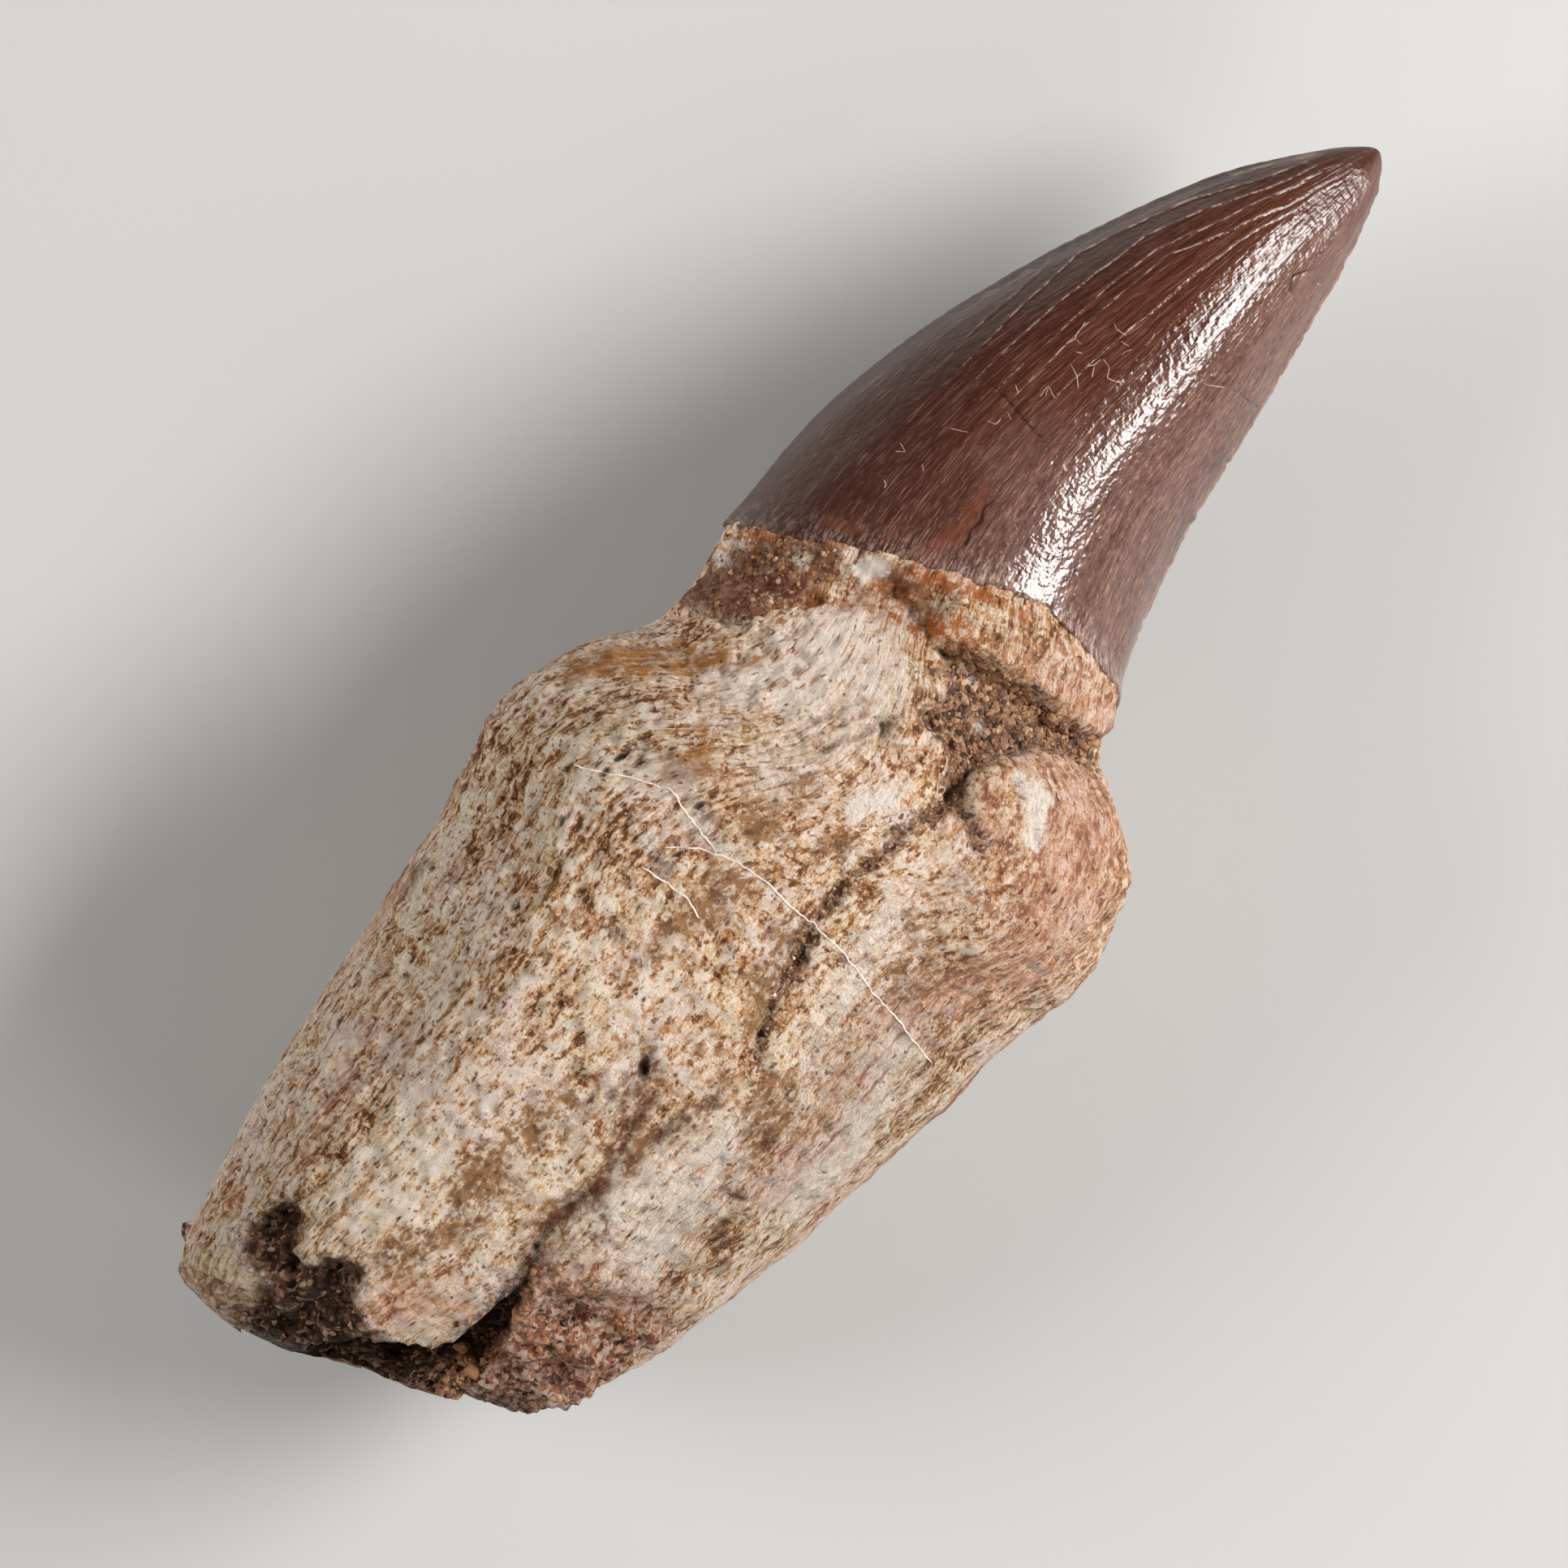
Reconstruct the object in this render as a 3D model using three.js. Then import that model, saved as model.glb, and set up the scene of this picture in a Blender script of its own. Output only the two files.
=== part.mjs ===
// A fossil mosasaur tooth: a curved enamel crown on a swollen, bony root, grown as one
// piece. The root is broken off at its base. The tooth lies on its side, on a small flat
// spot under the root.
//
// Millimetres. +X runs from the broken base to the tip of the crown, +Y points to the
// convex front edge, and +Z is up. The origin is under the middle of the tooth's box.

import * as THREE from "three";

// ---- Driving dimensions ----

const LENGTH = 88; // broken base to tip
const BOX_MIDDLE = { along: 43.93, y: -0.04 }; // middle of the tooth's box, seen from above
const AROUND = 68; // facets around the tooth
const TOP_CROWDING = 0.35; // how much closer together they are on the detailed top
const RING_SPANS = [
  { to: 44, rings: 27 },
  { to: 58, rings: 17 }, // closer together at the pit and the neck
  { to: 86.2, rings: 17 },
]; // rings between the two rounded ends

const END_SHARE = 0.001; // how small the section is at the very ends
const BASE_END = { depth: 4, power: 2.6, rings: 8 }; // rounding of the broken end
const TIP_END = { depth: 1.8, power: 2, rings: 3 }; // rounding of the tip
const BASE_LEAN = { offset: 1.7, slope: 3.7, reach: 30 }; // the broken end leans to the front

// The form of the tooth: distance along it from the base, how far its front and back
// edges lie from the axis, the heights of its underside and top, and how square its
// section is (2 is an ellipse).
const STATIONS = [
  { along: 0, front: 10.7, back: 8.2, under: 4.8, top: 19.4, power: 2.3 },
  { along: 6, front: 12.3, back: 8.8, under: 3.2, top: 21.0, power: 2.3 },
  { along: 12, front: 13.5, back: 11.9, under: 1.4, top: 22.6, power: 2.3 },
  { along: 20, front: 14.3, back: 13.5, under: 0.0, top: 24.1, power: 2.25 },
  { along: 28, front: 15.5, back: 14.7, under: -0.7, top: 25.1, power: 2.2 },
  { along: 31, front: 16.2, back: 15.0, under: -0.8, top: 25.4, power: 2.2 },
  { along: 34, front: 17.0, back: 15.4, under: -0.8, top: 25.7, power: 2.15 },
  { along: 37, front: 16.6, back: 15.7, under: -0.6, top: 25.9, power: 2.1 },
  { along: 40, front: 15.5, back: 16.2, under: -0.2, top: 25.8, power: 2.1 },
  { along: 43, front: 13.5, back: 16.9, under: 0.5, top: 25.3, power: 2.1 },
  { along: 46, front: 13.1, back: 16.4, under: 1.4, top: 24.5, power: 2.1 },
  { along: 49, front: 13.5, back: 14.7, under: 2.4, top: 23.4, power: 2.05 },
  { along: 52, front: 13.4, back: 11.0, under: 3.2, top: 22.4, power: 2.0 },
  { along: 55, front: 13.3, back: 8.8, under: 3.8, top: 21.7, power: 1.95 },
  { along: 58, front: 13.0, back: 7.3, under: 4.2, top: 21.1, power: 1.9 },
  { along: 62, front: 12.3, back: 5.8, under: 4.6, top: 20.4, power: 1.9 },
  { along: 66, front: 11.3, back: 4.8, under: 5.1, top: 19.5, power: 1.9 },
  { along: 70, front: 9.9, back: 4.2, under: 5.7, top: 18.4, power: 1.9 },
  { along: 74, front: 8.3, back: 3.6, under: 6.4, top: 17.2, power: 1.9 },
  { along: 78, front: 6.5, back: 2.9, under: 7.2, top: 15.7, power: 1.9 },
  { along: 82, front: 4.4, back: 2.3, under: 8.1, top: 13.9, power: 1.95 },
  { along: 85, front: 2.6, back: 1.9, under: 8.9, top: 12.4, power: 2.0 },
  { along: 88, front: 0.6, back: 1.1, under: 9.8, top: 10.9, power: 2.0 },
];

// Where the enamel ends: distance along the tooth, by the angle around it in degrees.
// 0 is the front edge, 90 the top, 180 the back edge and 270 the underside.
const ENAMEL_EDGE = [
  { angle: 0, along: 49.7 },
  { angle: 30, along: 50.6 },
  { angle: 60, along: 53.0 },
  { angle: 90, along: 55.4 },
  { angle: 120, along: 57.0 },
  { angle: 150, along: 56.5 },
  { angle: 180, along: 55.8 },
  { angle: 225, along: 54.5 },
  { angle: 270, along: 52.6 },
  { angle: 315, along: 50.8 },
  { angle: 360, along: 49.7 },
];
const EDGE_MEAN = 53.6; // the enamel edge's mean place
const EDGE_REACH = 14; // how far from it the rings still lean with it
const ENAMEL = {
  thickness: 0.4,
  facets: 16,
  facetDepth: 0.2,
  fadeIn: 9, // how far above the enamel's edge the facets are at full depth
  keel: 0.35,
  keelSharpness: 40,
};

// Features of the top, placed by distance along the tooth and by y. A path's points are
// [along, y, half-width].
const WALL = { from: 0.45, to: 1.25 }; // where a groove's walls start and end, in half-widths
const LOBE = { along: 47.4, y: -10.6, radius: 5.1, height: 1.8 };
const PIT = {
  depth: 2.7,
  path: [
    [51.5, 0.6, 1.3],
    [50.6, -3.2, 2.7],
    [52.0, -7.0, 1.8],
    [52.9, -11.8, 1.1],
  ],
};
const PIT_TAIL = {
  depth: 1.9,
  path: [
    [50.4, -3.4, 2.2],
    [47.6, -4.6, 1.5],
  ],
};
const COLLAR_RIM = {
  height: 0.5,
  path: [
    [54.0, 0.5, 1.6],
    [55.2, -3.6, 1.9],
    [55.0, -8.6, 1.9],
  ],
};
const NECK = {
  depth: 0.55,
  path: [
    [47.4, 13.8, 1.6],
    [49.6, 10.0, 1.7],
    [52.2, 5.6, 1.6],
    [53.6, 2.4, 1.3],
  ],
};
const CRACK = {
  depth: 1.1,
  path: [
    [45.6, -4.4, 0.9],
    [41.4, -4.3, 1.0],
    [37.5, -3.7, 1.1],
    [35.4, -4.3, 1.3],
    [30.5, -5.5, 1.0],
    [26.5, -6.9, 0.8],
  ],
};
const SLAB = {
  height: 0.8,
  edge: 0.5, // half the width of its step
  from: { along: 13.5, y: -3.9 },
  to: { along: 28.5, y: -7.2 },
  fade: 8, // how far behind its step the slab sinks back into the root
};
const NOTCH = {
  depth: 4.6,
  inset: 2.2, // how far it cuts into the broken end
  path: [
    [13.5, -3.9, 0.5],
    [9.0, -4.1, 1.4],
    [2.0, -4.4, 2.8],
  ],
};
const NOTCH_START = 14.5; // distance along the tooth where the notch begins to deepen
const CHIPS = {
  depth: 1.4,
  path: [
    [2.6, 10.4, 2.2],
    [5.2, 7.4, 2.8],
    [4.6, 1.2, 2.6],
    [5.6, -3.0, 2.4],
    [8.4, -8.4, 2.8],
    [11.6, -12.6, 2.6],
  ],
};
const FLUTES = { count: 9, depth: 0.25, from: 12, to: 44, twist: 0.08 }; // shallow lengthwise troughs
const RUBBLE = { height: 0.6, from: 3, to: 9, lean: 0.33 }; // lumps of the broken base

const COLOURS = { enamel: new THREE.Color(0x5d3a2b), bone: new THREE.Color(0xc9b493) };

// ---- Curves ----

const { clamp, lerp, smoothstep, radToDeg, euclideanModulo } = THREE.MathUtils;

// The value of `field` at `at`, on a smooth curve through the points of `list`.
function along(list, key, field, at) {
  const last = list.length - 1;
  const x = clamp(at, list[0][key], list[last][key]);
  let i = 0;
  while (i < last - 1 && list[i + 1][key] < x) i += 1;
  const slope = (k) => {
    const before = list[Math.max(k - 1, 0)];
    const after = list[Math.min(k + 1, last)];
    return (after[field] - before[field]) / (after[key] - before[key]);
  };
  const step = list[i + 1][key] - list[i][key];
  const t = (x - list[i][key]) / step;
  const rise = list[i + 1][field] - list[i][field];
  const a = slope(i) * step - rise;
  const b = rise - slope(i + 1) * step;
  const bend = t * (1 - t) * (a * (1 - t) + b * t);
  return list[i][field] + t * rise + bend;
}

// The distance of a place from a path, as a share of the path's half-width there.
function nearness(path, x, y) {
  let nearest = Infinity;
  for (let i = 0; i + 1 < path.length; i += 1) {
    const [x0, y0, w0] = path[i];
    const [x1, y1, w1] = path[i + 1];
    const run = (x1 - x0) ** 2 + (y1 - y0) ** 2;
    const t = clamp(((x - x0) * (x1 - x0) + (y - y0) * (y1 - y0)) / run, 0, 1);
    const gap = Math.hypot(x - lerp(x0, x1, t), y - lerp(y0, y1, t));
    nearest = Math.min(nearest, gap / lerp(w0, w1, t));
  }
  return nearest;
}

// 1 along a path, falling to 0 a little past its half-width.
function trench(path, x, y) {
  return 1 - smoothstep(nearness(path, x, y), WALL.from, WALL.to);
}

// Where the enamel ends at this angle around the tooth, in radians.
function enamelEdge(angle) {
  const degrees = radToDeg(euclideanModulo(angle, 2 * Math.PI));
  return along(ENAMEL_EDGE, "angle", "along", degrees);
}

// ---- The bare form ----

// A point of the bare form. `place` is a ring's place along the tooth, `share` the
// ring's size, below 1 on the rounded ends, and `angle` runs around the tooth.
function barePoint({ place, share }, angle) {
  const leaning = BASE_LEAN.offset - BASE_LEAN.slope * share * Math.cos(angle);
  const nearBase = Math.max(0, 1 - place / BASE_LEAN.reach) ** 2;
  const offEdge = Math.min(1, Math.abs(place - EDGE_MEAN) / EDGE_REACH);
  const nearEdge = (1 - offEdge ** 2) ** 2;
  const x = place + leaning * nearBase + (enamelEdge(angle) - EDGE_MEAN) * nearEdge;
  const at = (field) => along(STATIONS, "along", field, x);
  const exponent = 2 / at("power");
  const bulge = (v) => Math.sign(v) * Math.abs(v) ** exponent;
  const halfWidth = (at("front") + at("back")) / 2;
  const halfHeight = (at("top") - at("under")) / 2;
  const centreY = (at("front") - at("back")) / 2;
  const centreZ = (at("top") + at("under")) / 2;
  return {
    point: new THREE.Vector3(
      x,
      centreY + share * halfWidth * bulge(Math.cos(angle)),
      centreZ + share * halfHeight * bulge(Math.sin(angle)),
    ),
    up: Math.sin(angle) * share,
  };
}

// The direction that the bare form faces.
function facing(ring, angle) {
  const step = 0.02;
  const near = (change, turn) =>
    barePoint({ place: ring.place + change, share: ring.share }, angle + turn).point;
  const lengthwise = near(step, 0).sub(near(-step, 0));
  const around = near(0, step).sub(near(0, -step));
  return around.cross(lengthwise).normalize();
}

// ---- Relief: how far the surface stands out from the bare form ----

// Uneven lumps of two sizes, between about -1 and 1.
function lumps({ x, y, z }) {
  const large = Math.sin(0.9 * x + 1.1 * y + 2) * Math.sin(z - 0.7 * y + 0.6);
  const small = Math.sin(1.9 * y - 1.3 * z + 1) * Math.sin(1.7 * z + 1.5 * x + 4);
  return large + 0.4 * small;
}

// The smooth knob behind the pit.
function lobe(x, y) {
  const outward = Math.hypot(x - LOBE.along, y - LOBE.y) / LOBE.radius;
  return LOBE.height * Math.sqrt(Math.max(0, 1 - outward ** 2));
}

// The hollow below the crown, with the tail that runs from it towards the crack.
function pit(x, y) {
  const main = trench(PIT.path, x, y);
  return PIT.depth * main + PIT_TAIL.depth * trench(PIT_TAIL.path, x, y) * (1 - main);
}

// The raised slab behind the crack: a step along its line, sinking away behind it.
function slab(x, y) {
  const t = (x - SLAB.from.along) / (SLAB.to.along - SLAB.from.along);
  const behind = lerp(SLAB.from.y, SLAB.to.y, t) - y;
  const lengthwise = smoothstep(t, -0.1, 0.1) * (1 - smoothstep(t, 0.9, 1.2));
  const step = smoothstep(behind, -SLAB.edge, SLAB.edge);
  return SLAB.height * lengthwise * step * (1 - smoothstep(behind, 1, SLAB.fade));
}

function topRelief({ x, y }) {
  const raised = lobe(x, y) + slab(x, y) + COLLAR_RIM.height * trench(COLLAR_RIM.path, x, y);
  const grooves = NECK.depth * trench(NECK.path, x, y) + CRACK.depth * trench(CRACK.path, x, y);
  return raised - grooves - pit(x, y) - CHIPS.depth * trench(CHIPS.path, x, y);
}

// The enamel stands proud of the root, with long flat facets and a keel on each edge.
function crownRelief(x, angle) {
  const above = x - enamelEdge(angle);
  const facet = -ENAMEL.facetDepth * Math.abs(Math.sin((ENAMEL.facets * angle) / 2));
  const keel = ENAMEL.keel * Math.abs(Math.cos(angle)) ** ENAMEL.keelSharpness;
  const onFacets = smoothstep(above, 1, ENAMEL.fadeIn);
  const onEnamel = smoothstep(above, -0.2, 0.2);
  const awayFromTip = 1 - smoothstep(x, LENGTH - 8, LENGTH);
  return awayFromTip * (onEnamel * ENAMEL.thickness + onFacets * (facet + keel));
}

// Shallow troughs along the root, and the lumps of its broken base.
function rootRelief(point, angle) {
  const { x, y } = point;
  const onFlutes =
    smoothstep(x, FLUTES.from, FLUTES.from + 8) * (1 - smoothstep(x, FLUTES.to - 8, FLUTES.to));
  const flute = FLUTES.depth * Math.cos(FLUTES.count * angle + FLUTES.twist * x);
  const broken = 1 - smoothstep(x + RUBBLE.lean * y, RUBBLE.from, RUBBLE.to);
  return onFlutes * flute + RUBBLE.height * broken * lumps(point);
}

// A point of the finished surface. Nothing reaches below the surface it lies on.
function surfacePoint(ring, angle) {
  const { point, up } = barePoint(ring, angle);
  const outward = facing(ring, angle);
  const onTop = smoothstep(outward.z, 0, 0.4);
  const height =
    onTop * topRelief(point) + crownRelief(point.x, angle) + rootRelief(point, angle);
  const notch = trench(NOTCH.path, point.x, point.y) * smoothstep(up, 0.1, 0.9);
  const deepening = smoothstep(NOTCH_START - point.x, 0, NOTCH_START);
  point.addScaledVector(outward, height);
  point.x += NOTCH.inset * deepening * notch;
  point.z = Math.max(point.z - NOTCH.depth * deepening * notch, 0);
  return point;
}

// ---- Rings and faces ----

// The rings of a rounded end, from its middle out to its full section.
function endRings({ depth, power, rings }) {
  return Array.from({ length: rings }, (_, i) => {
    const turn = ((i + 1) / (rings + 1)) * (Math.PI / 2);
    return {
      inset: depth * (1 - Math.cos(turn) ** (2 / power)),
      share: Math.sin(turn) ** (2 / power),
    };
  });
}

// Each ring's place along the tooth and its size, from the base to the tip.
function ringList() {
  const base = endRings(BASE_END).map(({ inset, share }) => ({ place: inset, share }));
  const tip = endRings(TIP_END).map(({ inset, share }) => ({
    place: LENGTH - inset,
    share,
  }));
  const side = [{ place: BASE_END.depth, share: 1 }];
  for (const { to, rings } of RING_SPANS) {
    const from = side.at(-1).place;
    for (let i = 1; i <= rings; i += 1)
      side.push({ place: lerp(from, to, i / rings), share: 1 });
  }
  return [...base, ...side, ...tip.reverse()];
}

// The angle of a ring's i-th point. The points crowd together on the top.
function angleOf(i) {
  const even = (i / AROUND) * 2 * Math.PI;
  return even + TOP_CROWDING * (Math.cos(even) - 1);
}

// The closed skin: a fan of faces at each end and bands of faces between the rings.
function toothGeometry() {
  const rings = ringList();
  const points = [surfacePoint({ place: 0, share: END_SHARE }, 0)];
  for (const ring of rings)
    for (let i = 0; i < AROUND; i += 1)
      points.push(surfacePoint(ring, angleOf(i)));
  points.push(surfacePoint({ place: LENGTH, share: END_SHARE }, 0));

  const vertex = (ring, i) => 1 + ring * AROUND + (i % AROUND);
  const lastRing = rings.length - 1;
  const tip = points.length - 1;
  const faces = [];
  for (let i = 0; i < AROUND; i += 1) {
    faces.push(0, vertex(0, i + 1), vertex(0, i));
    faces.push(tip, vertex(lastRing, i), vertex(lastRing, i + 1));
    for (let ring = 0; ring < lastRing; ring += 1) {
      const [a, b] = [vertex(ring, i), vertex(ring, i + 1)];
      const [c, d] = [vertex(ring + 1, i), vertex(ring + 1, i + 1)];
      faces.push(a, b, d, a, d, c);
    }
  }

  const geometry = new THREE.BufferGeometry().setFromPoints(points);
  geometry.setIndex(faces);
  geometry.setAttribute("color", skinColours(points));
  geometry.translate(-BOX_MIDDLE.along, -BOX_MIDDLE.y, 0);
  geometry.computeVertexNormals();
  return geometry;
}

// Brown on the enamel and pale on the bone.
function skinColours(points) {
  const colours = points.flatMap((point) => {
    const at = (field) => along(STATIONS, "along", field, point.x);
    const centreY = (at("front") - at("back")) / 2;
    const centreZ = (at("top") + at("under")) / 2;
    const angle = Math.atan2(point.z - centreZ, point.y - centreY);
    const isEnamel = point.x > enamelEdge(angle);
    return (isEnamel ? COLOURS.enamel : COLOURS.bone).toArray();
  });
  return new THREE.Float32BufferAttribute(colours, 3);
}

// ---- The tooth ----

const tooth = new THREE.Mesh(
  toothGeometry(),
  new THREE.MeshStandardMaterial({ vertexColors: true, roughness: 0.7, metalness: 0 }),
);
tooth.name = "tooth";

const fossil = new THREE.Group();
fossil.add(tooth);

export default fossil;
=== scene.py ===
import itertools
import math
import random

import bmesh
import bpy
import numpy as np
from mathutils import Euler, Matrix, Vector
from mathutils.bvhtree import BVHTree


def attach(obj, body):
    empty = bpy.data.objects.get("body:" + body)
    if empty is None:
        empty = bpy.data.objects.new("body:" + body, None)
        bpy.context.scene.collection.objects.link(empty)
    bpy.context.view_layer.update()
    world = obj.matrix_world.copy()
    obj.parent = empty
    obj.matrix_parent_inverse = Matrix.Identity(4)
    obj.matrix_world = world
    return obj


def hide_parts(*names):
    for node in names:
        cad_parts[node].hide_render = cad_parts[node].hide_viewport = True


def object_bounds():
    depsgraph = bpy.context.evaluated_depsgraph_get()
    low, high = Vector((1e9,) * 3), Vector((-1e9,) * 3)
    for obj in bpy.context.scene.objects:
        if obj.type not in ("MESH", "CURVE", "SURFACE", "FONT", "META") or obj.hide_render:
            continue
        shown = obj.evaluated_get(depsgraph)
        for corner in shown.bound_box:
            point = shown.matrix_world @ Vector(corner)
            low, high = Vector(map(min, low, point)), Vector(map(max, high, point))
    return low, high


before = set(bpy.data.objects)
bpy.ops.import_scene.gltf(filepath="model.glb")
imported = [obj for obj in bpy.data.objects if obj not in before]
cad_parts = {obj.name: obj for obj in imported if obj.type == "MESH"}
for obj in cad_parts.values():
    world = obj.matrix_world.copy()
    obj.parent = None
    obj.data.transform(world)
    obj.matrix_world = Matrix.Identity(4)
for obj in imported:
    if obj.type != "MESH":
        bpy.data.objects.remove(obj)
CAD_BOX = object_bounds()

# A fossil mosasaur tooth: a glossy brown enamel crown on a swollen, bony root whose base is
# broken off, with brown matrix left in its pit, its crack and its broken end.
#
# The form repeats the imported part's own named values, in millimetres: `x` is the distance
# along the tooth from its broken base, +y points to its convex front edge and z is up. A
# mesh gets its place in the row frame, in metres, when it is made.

MM = 0.001
EYE = (41.23, 2.28, 480.0)  # the camera's place, which the forms of the top are laid out from
SEEN_LEVEL = 12.5  # the height at which they are measured

# ---- The form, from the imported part's own values ----

LENGTH = 88.0
ORIGIN = np.array([43.93, -0.04, 0.0])  # of the row frame
TOP_CROWDING = 0.45
END_SHARE = 0.001
BASE_END = {"depth": 4.0, "power": 2.6, "rings": 40}
TIP_END = {"depth": 1.8, "power": 2.0, "rings": 12}
BASE_LEAN = {"offset": 1.7, "slope": 3.7, "reach": 30.0}

# Distance along, front edge, back edge, underside, top, squareness.
STATIONS = np.array([
    (0, 10.7, 8.2, 4.8, 19.4, 2.3),
    (6, 12.3, 8.8, 3.2, 21.0, 2.3),
    (12, 13.5, 11.9, 1.4, 22.6, 2.3),
    (20, 14.3, 13.5, 0.0, 24.1, 2.25),
    (28, 15.5, 14.7, -0.7, 25.1, 2.2),
    (31, 16.2, 15.0, -0.8, 25.4, 2.2),
    (34, 17.0, 15.4, -0.8, 25.7, 2.15),
    (37, 16.6, 15.7, -0.6, 25.9, 2.1),
    (40, 15.5, 16.2, -0.2, 25.8, 2.1),
    (43, 13.5, 16.9, 0.5, 25.3, 2.1),
    (46, 13.1, 16.4, 1.4, 24.5, 2.1),
    (49, 13.5, 14.7, 2.4, 23.4, 2.05),
    (52, 13.4, 11.0, 3.2, 22.4, 2.0),
    (55, 13.3, 8.8, 3.8, 21.7, 1.95),
    (58, 13.0, 7.3, 4.2, 21.1, 1.9),
    (62, 12.3, 5.8, 4.6, 20.4, 1.9),
    (66, 11.3, 4.8, 5.1, 19.5, 1.9),
    (70, 9.9, 4.2, 5.7, 18.4, 1.9),
    (74, 8.3, 3.6, 6.4, 17.2, 1.9),
    (78, 6.5, 2.9, 7.2, 15.7, 1.9),
    (82, 4.4, 2.3, 8.1, 13.9, 1.95),
    (85, 2.6, 1.9, 8.9, 12.4, 2.0),
    (88, 0.6, 1.1, 9.8, 10.9, 2.0),
])
FIELDS = {"front": 1, "back": 2, "under": 3, "top": 4, "power": 5}

# Degrees around the tooth, and where the enamel ends there.
ENAMEL_EDGE = np.array([
    (0, 49.7), (30, 50.6), (60, 53.0), (90, 55.4), (120, 57.0), (150, 56.4),
    (180, 55.1), (225, 53.9), (270, 52.6), (315, 50.8), (360, 49.7),
])
EDGE_MEAN = 53.6
EDGE_REACH = 14.0
ENAMEL = {"thickness": 0.4, "facets": 16, "depth": 0.2, "fade": 9.0, "keel": 0.35,
          "keel_power": 40, "off_tip": 8.0}

WALL = (0.45, 1.25)
LOBE = {"x": 47.2, "y": -10.7, "radius": 5.5, "height": 1.8}
COLLAR_RIM = {"height": 0.5, "path": [(54.0, 0.5, 1.6), (55.2, -3.6, 1.9), (55.0, -8.6, 1.9)]}
NECK = {"depth": 0.55, "path": [(47.4, 13.8, 1.6), (49.6, 10.0, 1.7), (52.2, 5.6, 1.6),
                                (53.6, 2.4, 1.3)]}
SLAB = {"height": 0.75, "edge": 0.2, "fade": 8.0,
        "line": np.array([(13.5, -3.9), (18.2, -4.15), (21.9, -4.9), (26.2, -6.2), (28.5, -7.2)])}
NOTCH = {"depth": 4.6, "inset": 2.2, "start": 14.2, "deepest": 9.0}
FLUTES = {"count": 9, "depth": 0.25, "from": 12.0, "to": 44.0, "fade": 8.0, "twist": 0.08}
RUBBLE = {"height": 0.6, "end": 6.5, "lean": 0.33}

# The fibres of the bone: the root's mean radius, and how they fan out below the neck.
FIBRES = {"radius": 14.0, "fan": 0.5, "from": 36.0, "to": 50.0}


# ---- Curves and strokes ----
# A stroke is a list of (x, y, half-width), and an outline is a closed list of (x, y).

FAR = -6.0  # mm outside everything


def smoothstep(value, low, high):
    t = np.clip((value - low) / (high - low), 0, 1)
    return t * t * (3 - 2 * t)


def fade_out(value, low, high):
    return 1 - smoothstep(value, low, high)


def lerp(a, b, t):
    return a + (b - a) * t


def smooth_curve(keys, values, at):
    """The value at each place, on a smooth curve through the given points."""
    before = np.maximum(np.arange(len(keys)) - 1, 0)
    after = np.minimum(np.arange(len(keys)) + 1, len(keys) - 1)
    slopes = (values[after] - values[before]) / (keys[after] - keys[before])
    x = np.clip(at, keys[0], keys[-1])
    i = np.clip(np.searchsorted(keys, x) - 1, 0, len(keys) - 2)
    step = keys[i + 1] - keys[i]
    t = (x - keys[i]) / step
    rise = values[i + 1] - values[i]
    a = slopes[i] * step - rise
    b = rise - slopes[i + 1] * step
    return values[i] + t * rise + t * (1 - t) * (a * (1 - t) + b * t)


def station(field, x):
    return smooth_curve(STATIONS[:, 0], STATIONS[:, FIELDS[field]], x)


def enamel_edge(angle):
    degrees = np.degrees(np.mod(angle, 2 * math.pi))
    return smooth_curve(ENAMEL_EDGE[:, 0], ENAMEL_EDGE[:, 1], degrees)


def gap_and_width(leg, x, y):
    """The distance of each place from one leg of a path, and the half-width beside it."""
    (x0, y0, w0), (x1, y1, w1) = leg
    run = max((x1 - x0) ** 2 + (y1 - y0) ** 2, 1e-9)
    t = np.clip(((x - x0) * (x1 - x0) + (y - y0) * (y1 - y0)) / run, 0, 1)
    gap = np.hypot(x - lerp(x0, x1, t), y - lerp(y0, y1, t))
    return gap, lerp(w0, w1, t)


def measured(path, x, y):
    """For each leg of a path, each place's distance from it and the half-width beside it."""
    legs = list(zip(path, path[1:])) or [(path[0], path[0])]
    return [gap_and_width(leg, x, y) for leg in legs]


def reach(path, x, y):
    return np.maximum.reduce([width - gap for gap, width in measured(path, x, y)])


def inside_outline(outline, x, y):
    gap = np.full(x.shape, np.inf)
    inside = np.zeros(x.shape, bool)
    for (x0, y0), (x1, y1) in zip(outline, outline[1:] + outline[:1]):
        off, _ = gap_and_width(((x0, y0, 1), (x1, y1, 1)), x, y)
        gap = np.minimum(gap, off)
        crossing = x0 + (y - y0) * (x1 - x0) / ((y1 - y0) or 1)
        inside ^= ((y0 > y) != (y1 > y)) & (x < crossing)
    return np.where(inside, gap, -gap)


def mm_inside(shape, x, y):
    """How many mm inside a stroke or an outline each place is. Below 0 it is outside."""
    measure = reach if len(shape[0]) == 3 else inside_outline
    return measure(shape, x, y)


def mm_inside_any(shapes, x, y):
    return np.maximum.reduce([np.full(x.shape, FAR), *(mm_inside(one, x, y) for one in shapes)])


def trench(path, x, y):
    """A trough along a path: 1 in its middle, 0 beside it."""
    nearness = np.minimum.reduce([gap / width for gap, width in measured(path, x, y)])
    return fade_out(nearness, *WALL)


# ---- Noise ----

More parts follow.
